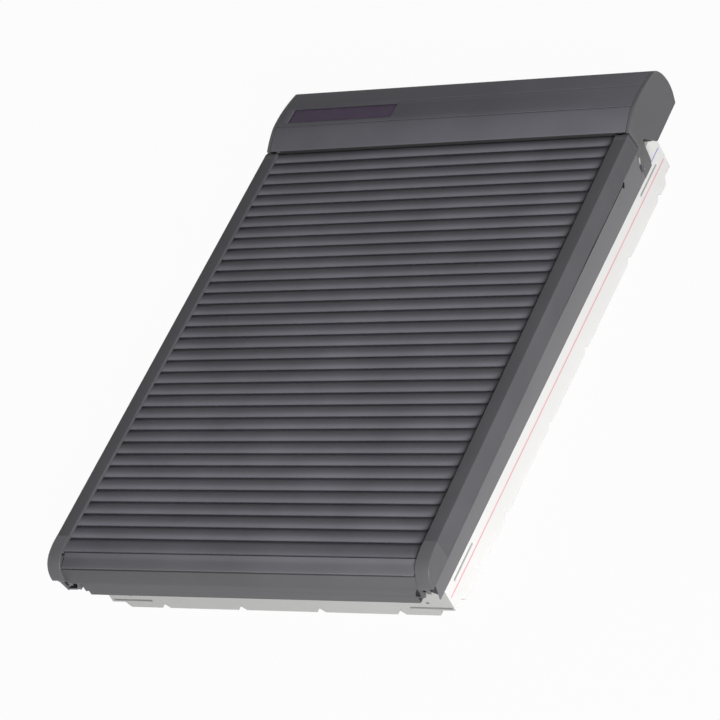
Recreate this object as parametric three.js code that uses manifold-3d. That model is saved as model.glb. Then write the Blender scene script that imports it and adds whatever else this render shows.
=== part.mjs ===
// A roof window with an outside roller shutter, closed, lying flat as it would before it is lifted into a roof.
// +Z points out of the roof, +Y up the slope, +X to the right seen from outside. All sizes are in millimetres.
// The origin is the middle of the flat underside of the frame's sill.
import * as THREE from "three";
import { mergeVertices } from "three/addons/utils/BufferGeometryUtils.js";
import Module from "manifold-3d";

const wasm = await Module();
wasm.setup();

// Driving sizes shared by several pieces
const seatGap = 0.3; // between pieces that touch
const runGap = 0.6; // between pieces that slide on each other
const cutOver = 2; // how far a cutter runs past the face that it opens
const fineArc = 8; // steps in a curved stretch

// Window frame
const windowWidth = 780;
const windowLength = 1178;
const frameHeight = 108;
const frameMember = 45;
const lipThickness = 12;
const liningGroove = 12;
const liningGrooveDepth = 15;
const sashRebate = 8;
const sashRebateDepth = 14;
const lipEndInset = 30; // where the lip's slanted end starts, from the corner
const lipEndRun = 10; // how far the slanted end runs along the frame
const notchWidth = 20;
const notchHeight = 11;
const sideNotchShares = [0.09, 0.21, 0.405, 0.573, 0.783, 0.934];
const sillNotchShares = [-0.344, -0.115, 0.115, 0.344];
const slotLength = 95;
const slotHeight = 5;
const slotDepth = 6;
const sideSlotLevel = 56;
const sideSlotInset = 36;
const sillSlotLevel = 20.5;
const sillSlotInset = 3;
const lineHeight = 3;
const lineDepth = 1.2;
const lineEndInset = 7.5;
const redLineLevel = 42.5;
const blueLineLevel = 73;

// Sash and glazing
const sashGap = 4;
const sashMember = 45;
const sashHeight = 68;
const sashProud = 2; // how far its members stand above the frame
const sashTop = frameHeight + sashProud;
const sashBase = sashTop - sashHeight;
const glassRebate = 12;
const outerGlass = 4;
const innerGlass = 4;
const paneCavity = 14;
const spacerWidth = 10;
const glassEdgeGap = 3;
const beadHeight = 10;
const claddingThickness = 2;
const claddingHeight = 12;
const claddingGlassCover = 5;
const pivotPinDiameter = 12;
const pivotPinSeat = 12;
const pivotDepth = 34; // below the top of the sash
const pivotLevel = sashTop - pivotDepth;
const handleLength = 110;
const handleWidth = 18;
const handleThickness = 9;
const handleRise = 12;
const handlePlateLength = 70;
const handlePlateThickness = 3;
const handleNeckDiameter = 14;

// Shutter: everything on it lies in a group turned by its tilt
const shutterTilt = 1.37; // degrees, higher towards the head of the window
const shutterRise = 85.7; // from the frame's top to the rails' top, at the sill
const railDatum = frameHeight + shutterRise;
const shutterOverhang = 40; // how far the rails stand out past each side of the frame
const shutterWidth = windowWidth + shutterOverhang * 2;
const railWidth = 30;
const railHeight = 46;
const railWall = 2.5;
const railLipDrop = 6.5;
const railEdgeChamfer = 1.5;
const railEndSlantShare = 0.15; // how far a rail's upper end leans up the slope, for each unit of depth
const railStart = 9;
const headToRails = 144; // from the rails' upper end to the head of the window
const railStop = windowLength - headToRails;
const railEndLength = 15;
const railToCasing = 3;
const casingStart = railStop + railEndLength + railToCasing;
const slatCount = 36;
const slatsPerGroup = 3;
const slatThickness = 8.5;
const slatCrestDepth = 8;
const slatInChannel = 12;
const channelBottom = slatCrestDepth + slatThickness + runGap;
const curtainOverhang = 21.4; // how far the lowest slat starts down the slope from the sill
const curtainStart = -curtainOverhang;
const curtainInCasing = 37.4;
const slatPitch = (casingStart + curtainInCasing + curtainOverhang) / slatCount;
const footReach = 64;
const footEdgeRound = 3;

// Casing
const casingDepth = 190;
const casingHeight = 112;
const casingDrop = 91; // from the rails' top down to the casing's base
const casingBottom = -casingDrop;
const casingWall = 2;
const capThickness = 12;
const casingHalfLength = (windowWidth + shutterOverhang * 2) / 2 - capThickness;
const plateThickness = 3;
const capEdgeRound = 7;
const seamGap = 0.8;

// Barrel and drive
const barrelFromCasingFront = 66;
const barrelDepth = 43;
const barrelRadius = 19;
const barrelWall = 1.2;
const barrelSides = 8;
const barrelEndGap = 27;
const motorRadius = 15.5;
const motorLength = 420;
const motorHeadRadius = 23;
const pinRadius = 6;

const X = new THREE.Vector3(1, 0, 0);
const Y = new THREE.Vector3(0, 1, 0);
const Z = new THREE.Vector3(0, 0, 1);
const half = windowWidth / 2;
const shutterHalf = shutterWidth / 2;
const railInner = shutterHalf - railWidth;

// Finishes
function finish(color, roughness, metalness = 0) {
  return new THREE.MeshStandardMaterial({ color, roughness, metalness });
}
const finishes = {
  frameWhite: finish(0xf1f2ef, 0.45),
  shutterGrey: finish(0x4d4d51, 0.5, 0.4),
  slatGrey: finish(0x47474b, 0.45, 0.4),
  coverGrey: finish(0x5a5a5e, 0.5, 0.4),
  plasticGrey: finish(0x454549, 0.6),
  steel: finish(0xa9abad, 0.35, 0.9),
  black: finish(0x1c1c1e, 0.7),
  glass: finish(0xb8c8cc, 0.05),
  cells: finish(0x2e2440, 0.3, 0.2),
};

// A flat outline from [across, up] pairs, always run round the same way
function outline(points) {
  const corners = points.map(([a, b]) => new THREE.Vector2(a, b));
  return new THREE.Shape(THREE.ShapeUtils.isClockWise(corners) ? corners.reverse() : corners);
}

function extruded(shape, depth) {
  return new THREE.ExtrudeGeometry(shape, { depth, bevelEnabled: false, curveSegments: fineArc });
}

// Outline drawn in (y, z), run along X
function alongX(shape, from, to) {
  const geometry = extruded(shape, to - from);
  geometry.applyMatrix4(new THREE.Matrix4().makeBasis(Y, Z, X));
  return geometry.translate(from, 0, 0);
}

// Outline drawn in (x, z), run along Y
function alongY(shape, from, to) {
  const geometry = extruded(shape, to - from);
  geometry.applyMatrix4(new THREE.Matrix4().makeBasis(X, Z, Y.clone().negate()));
  return geometry.translate(0, to, 0);
}

// Outline drawn in (x, y), run along Z
function alongZ(shape, from, to) {
  return extruded(shape, to - from).translate(0, 0, from);
}

function block(x0, x1, y0, y1, z0, z1) {
  const geometry = new THREE.BoxGeometry(x1 - x0, y1 - y0, z1 - z0);
  return geometry.translate((x0 + x1) / 2, (y0 + y1) / 2, (z0 + z1) / 2);
}

// A round bar along X, with flat ends
function barX(radius, x0, x1, y, z, sides = 24) {
  const geometry = new THREE.CylinderGeometry(radius, radius, x1 - x0, sides);
  geometry.rotateZ(-Math.PI / 2);
  return geometry.translate((x0 + x1) / 2, y, z);
}

function barZ(radius, z0, z1, x, y, sides = 24) {
  const geometry = new THREE.CylinderGeometry(radius, radius, z1 - z0, sides);
  geometry.rotateX(Math.PI / 2);
  return geometry.translate(x, y, (z0 + z1) / 2);
}

// A closed geometry as a solid that can be joined and cut
function solid(geometry) {
  const bare = geometry.clone();
  bare.deleteAttribute("normal");
  bare.deleteAttribute("uv");
  const merged = mergeVertices(bare);
  return new wasm.Manifold(
    new wasm.Mesh({
      numProp: 3,
      vertProperties: merged.attributes.position.array,
      triVerts: new Uint32Array(merged.index.array),
    }),
  );
}

function geometryOf(body) {
  const mesh = body.getMesh();
  const geometry = new THREE.BufferGeometry();
  geometry.setAttribute("position", new THREE.BufferAttribute(new Float32Array(mesh.vertProperties), 3));
  geometry.setIndex(new THREE.BufferAttribute(new Uint32Array(mesh.triVerts), 1));
  geometry.computeVertexNormals();
  return geometry;
}

function joined(...geometries) {
  return geometryOf(geometries.map(solid).reduce((a, b) => a.add(b)));
}

function cut(geometry, ...cutters) {
  return geometryOf(cutters.map(solid).reduce((a, b) => a.subtract(b), solid(geometry)));
}

// The other hand of a piece, across the plane x = 0, with its faces still pointing out
function mirrored(geometry) {
  const flat = geometry.index ? geometry.toNonIndexed() : geometry.clone();
  const position = flat.getAttribute("position");
  for (let i = 0; i < position.count; i += 3) {
    const corners = [i, i + 2, i + 1].map((k) => new THREE.Vector3().fromBufferAttribute(position, k));
    corners.forEach((corner, k) => position.setXYZ(i + k, -corner.x, corner.y, corner.z));
  }
  flat.computeVertexNormals();
  return flat;
}

// A sheet of even thickness that follows a path of [across, up] points, on the path's left side
function sheetOutline(points, thickness) {
  const path = points.map(([a, b]) => new THREE.Vector2(a, b));
  const inner = path.map((point, i) => {
    const before = path[Math.max(i - 1, 0)];
    const after = path[Math.min(i + 1, path.length - 1)];
    const a = point.clone().sub(before).normalize();
    const b = after.clone().sub(point).normalize();
    const inward = i === 0 ? b : i === path.length - 1 ? a : a.clone().add(b).normalize();
    const normal = new THREE.Vector2(-inward.y, inward.x);
    const edge = i === 0 ? b : a;
    const lean = Math.abs(normal.dot(new THREE.Vector2(-edge.y, edge.x)));
    return point.clone().addScaledVector(normal, thickness / lean);
  });
  return outline([...path, ...inner.reverse()].map((p) => [p.x, p.y]));
}

const root = new THREE.Group();
root.name = "roof_window_roller_shutter";
const windowGroup = new THREE.Group();
windowGroup.position.y = -lipThickness / 2;
const shutterGroup = new THREE.Group();
shutterGroup.position.z = railDatum;
shutterGroup.rotation.x = THREE.MathUtils.degToRad(shutterTilt);
windowGroup.add(shutterGroup);
root.add(windowGroup);

function place(group, name, geometry, material) {
  const mesh = new THREE.Mesh(geometry, material);
  mesh.name = name;
  group.add(mesh);
  return mesh;
}

// Frame member: an outer lip, the lining groove, a broad inner foot and the sash rebate at the top
function frameSection() {
  const footStart = lipThickness + liningGroove;
  const rebateStart = frameMember - sashRebate;
  return [
    [0, 0],
    [lipThickness, 0],
    [lipThickness, liningGrooveDepth],
    [footStart, liningGrooveDepth],
    [footStart, 0],
    [frameMember, 0],
    [frameMember, frameHeight - sashRebateDepth],
    [rebateStart, frameHeight - sashRebateDepth],
    [rebateStart, frameHeight],
    [0, frameHeight],
  ];
}

// Runs a section along a straight member and cuts both ends at 45 degrees.
// The section is drawn as [distance in from the outer face, up].
function mitredMember(section, length) {
  const geometry = alongX(outline(section), -length / 2, length / 2);
  const position = geometry.getAttribute("position");
  for (let i = 0; i < position.count; i += 1) {
    const x = position.getX(i);
    const slope = position.getY(i) + seatGap / 2;
    position.setX(i, x - Math.sign(x) * slope);
  }
  return geometry;
}

// Runs a section of [distance in from the outer edge, up] round a rectangle, with mitred corners
function ringAround(section, halfWidth, low, high) {
  const points = section.getPoints().slice(0, -1);
  const corners = [
    [-1, 0],
    [1, 0],
    [1, 1],
    [-1, 1],
  ];
  const positions = [];
  points.forEach(({ x: inset, y: level }) => {
    corners.forEach(([side, end]) => {
      const y = end ? high - inset : low + inset;
      positions.push(side * (halfWidth - inset), y, level);
    });
  });
  const faces = [];
  points.forEach((_, i) => {
    const next = (i + 1) % points.length;
    corners.forEach((__, k) => {
      const turn = (k + 1) % corners.length;
      const [a, b] = [i * corners.length + k, next * corners.length + k];
      const [c, d] = [next * corners.length + turn, i * corners.length + turn];
      faces.push(a, b, c, a, c, d);
    });
  });
  const geometry = new THREE.BufferGeometry();
  geometry.setAttribute("position", new THREE.Float32BufferAttribute(positions, 3));
  geometry.setIndex(faces);
  geometry.computeVertexNormals();
  return geometry;
}

// Cutter for the lip at a member's two ends: beyond the slanted line nothing is left of it
function lipEnds(length) {
  const start = length / 2 - lipEndInset;
  const shape = outline([
    [start - lipEndRun, -cutOver],
    [start, liningGrooveDepth],
    [length, liningGrooveDepth],
    [length, -cutOver],
  ]);
  const right = alongY(shape, -cutOver, lipThickness);
  return [right, mirrored(right)];
}

function lipNotches(places) {
  return places.map((place) => {
    const reach = notchWidth / 2;
    const slope = reach / notchHeight;
    const shape = outline([
      [place - reach - cutOver * slope, -cutOver],
      [place, notchHeight],
      [place + reach + cutOver * slope, -cutOver],
    ]);
    return alongY(shape, -cutOver, lipThickness);
  });
}

function endSlots(length, inset, level) {
  const outer = length / 2 - inset;
  const right = block(outer - slotLength, outer, -cutOver, slotDepth, level - slotHeight / 2, level + slotHeight / 2);
  return [right, mirrored(right)];
}

function levelLine(length, level) {
  const reach = length / 2 - lineEndInset;
  return block(-reach, reach, -cutOver, lineDepth, level - lineHeight / 2, level + lineHeight / 2);
}

function pivotBore() {
  const geometry = new THREE.CylinderGeometry(
    pivotPinDiameter / 2 + runGap,
    pivotPinDiameter / 2 + runGap,
    pivotPinSeat + cutOver,
    24,
  );
  return geometry.translate(0, frameMember + (cutOver - pivotPinSeat) / 2, pivotLevel);
}

function addFrame() {
  const sideNotches = sideNotchShares.map((share) => (0.5 - share) * windowLength);
  const sideRight = cut(
    mitredMember(frameSection(), windowLength),
    ...lipEnds(windowLength),
    ...lipNotches(sideNotches),
    ...endSlots(windowLength, sideSlotInset, sideSlotLevel),
    levelLine(windowLength, redLineLevel),
    levelLine(windowLength, blueLineLevel),
    pivotBore(),
  );
  const sill = cut(
    mitredMember(frameSection(), windowWidth),
    ...lipEnds(windowWidth),
    ...lipNotches(sillNotchShares.map((share) => share * windowWidth)),
    ...endSlots(windowWidth, sillSlotInset, sillSlotLevel),
  );
  // The side member is drawn like the sill, with its outer face to -Y, and turned to face +X or -X
  const left = place(windowGroup, "frame_left", mirrored(sideRight), finishes.frameWhite);
  left.rotation.z = -Math.PI / 2;
  left.position.set(-half, windowLength / 2, 0);
  const right = place(windowGroup, "frame_right", sideRight, finishes.frameWhite);
  right.rotation.z = Math.PI / 2;
  right.position.set(half, windowLength / 2, 0);
  place(windowGroup, "frame_sill", sill, finishes.frameWhite);
  const head = place(windowGroup, "frame_head", sill.clone(), finishes.frameWhite);
  head.rotation.z = Math.PI;
  head.position.y = windowLength;
}

const sashOuter = frameMember + sashGap; // from the frame's outer face to the sash
const sashHalf = half - sashOuter;
const glassTop = sashTop - beadHeight;
const glassBottom = glassTop - outerGlass - paneCavity - innerGlass;

// Sash member: a stepped inner side that takes the glass unit
function sashSection() {
  const reach = sashMember - glassRebate;
  return [
    [0, sashBase],
    [sashMember - sashRebate, sashBase],
    [sashMember, sashBase + sashRebate],
    [sashMember, glassBottom - seatGap],
    [reach, glassBottom - seatGap],
    [reach, sashTop],
    [0, sashTop],
  ];
}

function addSash() {
  const width = sashHalf + sashHalf;
  const length = windowLength - sashOuter - sashOuter;
  const stile = mitredMember(sashSection(), length);
  const rail = mitredMember(sashSection(), width);
  const middle = windowLength / 2;
  const members = [
    ["sash_bottom_rail", rail, 0, 0, sashOuter],
    ["sash_top_rail", rail, Math.PI, 0, windowLength - sashOuter],
    ["sash_right_stile", stile, Math.PI / 2, sashHalf, middle],
    ["sash_left_stile", stile, -Math.PI / 2, -sashHalf, middle],
  ];
  members.forEach(([name, geometry, turn, x, y]) => {
    const mesh = place(windowGroup, name, geometry.clone(), finishes.frameWhite);
    mesh.rotation.z = turn;
    mesh.position.set(x, y, 0);
  });
  const inset = sashMember - glassRebate + glassEdgeGap;
  const glassHalf = sashHalf - inset;
  const low = sashOuter + inset;
  const high = windowLength - low;
  const outerLow = glassTop - outerGlass;
  place(windowGroup, "inner_pane", block(-glassHalf, glassHalf, low, high, glassBottom, glassBottom + innerGlass), finishes.glass);
  place(windowGroup, "outer_pane", block(-glassHalf, glassHalf, low, high, outerLow, glassTop), finishes.glass);
  const spacerBottom = glassBottom + innerGlass + seatGap;
  const spacerTop = outerLow - seatGap;
  const spacerSection = outline([
    [0, spacerBottom],
    [spacerWidth, spacerBottom],
    [spacerWidth, spacerTop],
    [0, spacerTop],
  ]);
  const spacer = ringAround(spacerSection, glassHalf, low, high);
  place(windowGroup, "pane_spacer", spacer, finishes.steel);
  addCladding(glassHalf, low, high);
  addPivotsAndHandle();
}

// Sheet-metal cladding over the sash members, turned down to the glass at its inner edge
function addCladding(glassHalf, low, high) {
  const level = sashTop + seatGap;
  const top = level + claddingHeight;
  const inner = sashMember - glassRebate + glassEdgeGap + claddingGlassCover;
  const section = sheetOutline(
    [
      [inner, glassTop + seatGap],
      [inner, top - claddingThickness],
      [inner - claddingThickness, top],
      [claddingThickness, top],
      [0, top - claddingThickness],
      [0, level],
    ],
    claddingThickness,
  );
  const cladding = ringAround(section, sashHalf, sashOuter, windowLength - sashOuter);
  place(windowGroup, "sash_cladding", cladding, finishes.coverGrey);
}

function addPivotsAndHandle() {
  const middle = windowLength / 2;
  const pinStart = sashHalf + seatGap;
  const pinEnd = half - frameMember + pivotPinSeat - seatGap;
  const pin = barX(pivotPinDiameter / 2, pinStart, pinEnd, middle, pivotLevel);
  place(windowGroup, "pivot_pin_right", pin, finishes.steel);
  place(windowGroup, "pivot_pin_left", mirrored(pin), finishes.steel);
  const handleY = sashOuter + sashMember / 2;
  const plateTop = sashBase - seatGap;
  const plateBottom = plateTop - handlePlateThickness;
  const plate = joined(
    block(-handlePlateLength / 2, handlePlateLength / 2, handleY - handleWidth / 2, handleY + handleWidth / 2, plateBottom, plateTop),
    barZ(handleNeckDiameter / 2 + handlePlateThickness, plateBottom - handlePlateThickness, plateTop, 0, handleY),
  );
  place(windowGroup, "handle_plate", plate, finishes.steel);
  const neckTop = plateBottom - handlePlateThickness - seatGap;
  const leverBottom = neckTop - handleRise;
  const lever = new THREE.Shape();
  const tip = handleLength - handleWidth / 2;
  lever.absarc(0, handleY, handleWidth / 2, Math.PI / 2, Math.PI * 1.5, false);
  lever.absarc(tip, handleY, handleWidth / 2, -Math.PI / 2, Math.PI / 2, false);
  const handle = joined(
    alongZ(lever, leverBottom, leverBottom + handleThickness),
    barZ(handleNeckDiameter / 2, leverBottom, neckTop, 0, handleY),
  );
  place(windowGroup, "handle_lever", handle, finishes.steel);
}

// Level of the shutter's own plane, seen from the window's frame, at a place up the slope
const tiltSin = Math.sin(THREE.MathUtils.degToRad(shutterTilt));
const tiltCos = Math.cos(THREE.MathUtils.degToRad(shutterTilt));
function levelUnderShutter(y, depth) {
  return railDatum + (y * tiltSin) / tiltCos - depth / tiltCos;
}
// A point of the shutter, [up the slope, out], seen from the window's frame
function fromShutter([y, z]) {
  return [y * tiltCos - z * tiltSin, railDatum + y * tiltSin + z * tiltCos];
}

// Side covers: a channel open downwards, wedge-shaped, whose outer wall leans in towards the sill
const coverPastFrameTop = 4.5;
const coverEdgeLevel = frameHeight - coverPastFrameTop;
const coverWall = 2;
const coverOnFrame = 4;
const coverInner = half - coverOnFrame;
const coverOverhang = 45;
const coverStart = -coverOverhang;
const coverPastRails = 7;
const coverStop = railStop + coverPastRails;
const coverTipRun = 5;
const coverLean = 9;
const coverProud = 1.2;
const drawnHeight = 100;
const slitHeight = 3.5;
const slitFromRailStop = 72; // to the round hole, where the slit is at its highest
const slitLength = 412;
const slitFrom = railStop - slitFromRailStop;
const slitTo = slitFrom - slitLength;
const slitHoleDiameter = 9;

function addSideCovers() {
  const inside = coverInner + coverWall;
  const outside = shutterHalf - coverWall;
  const shape = outline([
    [shutterHalf, 0],
    [shutterHalf, drawnHeight],
    [coverInner, drawnHeight],
    [coverInner, frameHeight + seatGap - coverEdgeLevel],
    [inside, frameHeight + seatGap - coverEdgeLevel],
    [inside, drawnHeight - coverWall],
    [outside, drawnHeight - coverWall],
    [outside, 0],
  ]);
  const geometry = alongY(shape, coverStart, coverStop);
  const position = geometry.getAttribute("position");
  for (let i = 0; i < position.count; i += 1) {
    const drawn = position.getZ(i);
    const fromTop = drawn > drawnHeight / 2;
    const y = position.getY(i);
    const share = (y - coverStart) / (coverStop - coverStart);
    const atStart = share < 0.5;
    const top = levelUnderShutter(y, railHeight + seatGap);
    const z = fromTop ? top - (drawnHeight - drawn) : coverEdgeLevel + drawn;
    const outer = position.getX(i) > outside - coverWall;
    const shift = fromTop ? coverProud * (1 - share) : -coverLean;
    const tip = atStart ? -coverTipRun : coverTipRun;
    position.setXYZ(i, position.getX(i) + (outer ? shift : 0), y + (fromTop ? 0 : tip), z);
  }
  const right = cut(geometry, ...coverSlit(outside));
  place(windowGroup, "side_cover_right", right, finishes.coverGrey);
  place(windowGroup, "side_cover_left", mirrored(right), finishes.coverGrey);
}

// Cutters for the slit under the rail, which runs from a round hole to nothing, in the outer wall only
function coverSlit(outside) {
  const inner = outside - coverLean;
  const outer = shutterHalf + cutOver;
  const edge = (y, drop) => [y, levelUnderShutter(y, railHeight + drop)];
  const wedge = outline([
    edge(slitTo, -cutOver),
    edge(slitFrom, -cutOver),
    edge(slitFrom, slitHeight),
    edge(slitTo, 0),
  ]);
  const hole = barX(slitHoleDiameter / 2, inner, outer, ...edge(slitFrom, slitHeight + slitHoleDiameter / 4));
  return [alongX(wedge, inner, outer), hole];
}

// Cover over the sill: a folded sheet whose nose stands out below the shutter's foot. Its upper band reaches
// the rails' feet, and its lower band and its shelf end short of the side covers
const sillCoverEndGap = 28; // between its end and the rail
const sillCoverBandGap = 1.6; // between its upper band's end and the foot
const sillCoverBandHalf = railInner - sillCoverBandGap;
const sillCoverBandDepth = 47;
const sillCoverEndSlant = 5;
const sillCoverHalf = railInner - sillCoverEndGap;
const sillCoverWall = 2.5;
const sillCoverNoseReach = 56; // down the slope from the sill, on the shutter
const sillCoverBendReach = 60;
const sillCoverBendDepth = 57;
const sillCoverEdgeReach = 51;
const sillCoverEdgeDepth = 99;
const sillCoverReturn = 14;
const sillCoverShelfReach = 30;
const sillCoverSlopeEnd = 40;

function addSillCover() {
  const low = fromShutter([-sillCoverEdgeReach, -sillCoverEdgeDepth]);
  const noseDepth = barNoseDepth + seatGap + barSealThickness + seatGap;
  const nose = fromShutter([-sillCoverNoseReach, -noseDepth]);
  const frameTop = frameHeight + seatGap;
  const path = [
    [low[0] + sillCoverReturn, low[1]],
    low,
    fromShutter([-sillCoverBendReach, -sillCoverBendDepth]),
    nose,
    fromShutter([-sillCoverShelfReach, -noseDepth]),
    [sillCoverSlopeEnd, frameTop + sillCoverWall * 3],
    [sillCoverSlopeEnd, frameTop],
  ].reverse();
  const sheet = alongX(sheetOutline(path, sillCoverWall), -sillCoverBandHalf, sillCoverBandHalf);
  const bandEdge = fromShutter([-sillCoverNoseReach, -sillCoverBandDepth])[1];
  const past = sillCoverBandHalf + cutOver;
  const belowBand = alongY(
    outline([
      [sillCoverHalf, low[1] - cutOver],
      [past, low[1] - cutOver],
      [past, bandEdge],
      [sillCoverHalf + sillCoverEndSlant, bandEdge],
    ]),
    low[0] - sillCoverNoseReach,
    sillCoverSlopeEnd,
  );
  const behindBand = block(
    sillCoverHalf,
    past,
    nose[0] + sillCoverWall * 1.5,
    sillCoverSlopeEnd + cutOver,
    low[1],
    nose[1] + railHeight,
  );
  const cover = cut(sheet, belowBand, behindBand, mirrored(belowBand), mirrored(behindBand));
  const rib = block(
    -sillCoverHalf,
    sillCoverHalf,
    coverTipRun,
    coverTipRun + sillCoverWall,
    frameTop,
    nose[1] - sillCoverWall,
  );
  place(windowGroup, "sill_cover", joined(cover, rib), finishes.coverGrey);
}

// Cover over the head, under the casing
const headCoverEndGap = 6;
const headCoverHalf = half - headCoverEndGap;
const headCoverHeight = 9;
const headCoverEdgeInset = 0.5; // back from the frame's outer face
function addHeadCover() {
  const level = frameHeight + seatGap;
  const top = level + headCoverHeight;
  const path = [
    [windowLength - frameMember + sashRebate, level],
    [windowLength - frameMember + sashRebate, top],
    [windowLength - headCoverEdgeInset, top],
    [windowLength - headCoverEdgeInset, level],
  ].reverse();
  const cover = alongX(sheetOutline(path, claddingThickness), -headCoverHalf, headCoverHalf);
  place(windowGroup, "head_cover", cover, finishes.coverGrey);
}

// Guide rail: a box section with the slats' channel open to the inner side
function railSection() {
  const out = shutterHalf;
  const inn = railInner;
  const w = railWall;
  const shape = outline([
    [inn, 0],
    [out - railEdgeChamfer, 0],
    [out, -railEdgeChamfer],
    [out, -railHeight],
    [inn, -railHeight],
    [inn, -channelBottom],
    [out - w, -channelBottom],
    [out - w, -w],
    [inn + w, -w],
    [inn + w, -railLipDrop],
    [inn, -railLipDrop],
  ]);
  shape.holes.push(
    new THREE.Path(
      [
        [inn + w, -channelBottom - w],
        [out - w, -channelBottom - w],
        [out - w, -railHeight + w],
        [inn + w, -railHeight + w],
      ].map(([a, b]) => new THREE.Vector2(a, b)),
    ),
  );
  return shape;
}

// A length of rail whose chosen ends lean up the slope, deeper down
function railLength(from, to, leanStart) {
  const geometry = alongY(railSection(), from, to);
  const position = geometry.getAttribute("position");
  for (let i = 0; i < position.count; i += 1) {
    const leans = leanStart || position.getY(i) > (from + to) / 2;
    position.setY(i, position.getY(i) - (leans ? railEndSlantShare * position.getZ(i) : 0));
  }
  return geometry;
}

function addRails() {
  const rail = railLength(railStart + seatGap, railStop, false);
  const end = railLength(railStop + seatGap * 1.5, railStop + railEndLength, true);
  place(shutterGroup, "rail_right", rail, finishes.shutterGrey);
  place(shutterGroup, "rail_left", mirrored(rail), finishes.shutterGrey);
  place(shutterGroup, "rail_end_right", end, finishes.plasticGrey);
  place(shutterGroup, "rail_end_left", mirrored(end), finishes.plasticGrey);
  const foot = footPiece();
  place(shutterGroup, "rail_foot_right", foot, finishes.shutterGrey);
  place(shutterGroup, "rail_foot_left", mirrored(foot), finishes.shutterGrey);
}

// The rail's rounded lower end, with the channel open for the bottom bar
const footChannelDepth = 33;
const footChannelWidth = 16;
const footChannelReach = 38; // down the slope, short of the rounded nose
// The nose's outline, as shares of its reach down the slope and of the rail's height
const footNoseShares = [
  [0.16, 0],
  [0.42, 0.05],
  [0.6, 0.11],
  [0.78, 0.22],
  [0.9, 0.38],
  [0.97, 0.56],
  [1, 0.76],
  [1, 0.94],
  [0.97, 1.06],
  [0.88, 1.15],
  [0.76, 1.15],
  [0.75, 1],
];
function footPiece() {
  const nose = footNoseShares.map(([u, v]) => [-footReach * u, -railHeight * v]);
  const past = railStart + cutOver * 2;
  const shape = outline([[past, 0], ...nose, [past, -railHeight]]);
  const body = new THREE.ExtrudeGeometry(shape, {
    depth: railWidth - footEdgeRound,
    bevelEnabled: true,
    bevelThickness: footEdgeRound,
    bevelSize: footEdgeRound,
    bevelOffset: -footEdgeRound,
    bevelSegments: 3,
  });
  body.applyMatrix4(new THREE.Matrix4().makeBasis(Y, Z, X));
  body.translate(railInner, 0, 0);
  const low = -footReach - cutOver;
  const deep = -railHeight * 2;
  const innerSide = block(railInner - railWidth, railInner, low, past + cutOver, deep, railHeight);
  const upperEnd = block(railInner - railWidth, shutterHalf + railWidth, railStart, past + cutOver, deep, railHeight);
  const channel = block(
    railInner - cutOver,
    railInner + footChannelWidth,
    -footChannelReach,
    past,
    -footChannelDepth,
    -railLipDrop,
  );
  return cut(body, innerSide, upperEnd, channel);
}

// A slat's face, as shares of the pitch up the slope and of the thickness inwards from the crest
const slatFaceShares = [
  [0.026, 0.588],
  [0.06, 0.3],
  [0.13, 0.1],
  [0.26, 0],
  [0.42, 0.03],
  [0.58, 0.13],
  [0.74, 0.31],
  [0.88, 0.55],
  [0.955, 0.76],
];
const hookTongue = 3.6; // how far a slat's tongue reaches under the next one
const hookTopShare = 0.76;
const hookBackShare = 0.94;
const hookRecess = 5.2;
const hookCeilingShare = 0.68;

function slatChain(first, count) {
  const start = curtainStart + first * slatPitch;
  const crest = -slatCrestDepth;
  const end = start + count * slatPitch;
  const points = [];
  for (let k = 0; k < count; k += 1) {
    slatFaceShares.forEach(([u, w]) => {
      points.push([start + (k + u) * slatPitch, crest - w * slatThickness]);
    });
  }
  points.push([end + hookTongue, crest - hookTopShare * slatThickness]);
  points.push([end + hookTongue, crest - hookBackShare * slatThickness]);
  points.push([end - hookTongue, crest - slatThickness]);
  points.push([start + hookRecess, crest - slatThickness]);
  points.push([start + hookRecess, crest - hookCeilingShare * slatThickness]);
  points.push([start + slatFaceShares[0][0] * slatPitch, crest - hookCeilingShare * slatThickness]);
  return outline(points);
}

const curtainHalf = railInner + slatInChannel;
function addCurtain() {
  const groups = slatCount / slatsPerGroup;
  for (let g = 0; g < groups; g += 1) {
    const chain = alongX(slatChain(g * slatsPerGroup, slatsPerGroup), -curtainHalf, curtainHalf);
    const name = "slats_" + String(g + 1).padStart(2, "0");
    place(shutterGroup, name, chain, finishes.slatGrey);
  }
  addBottomBar();
}

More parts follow.
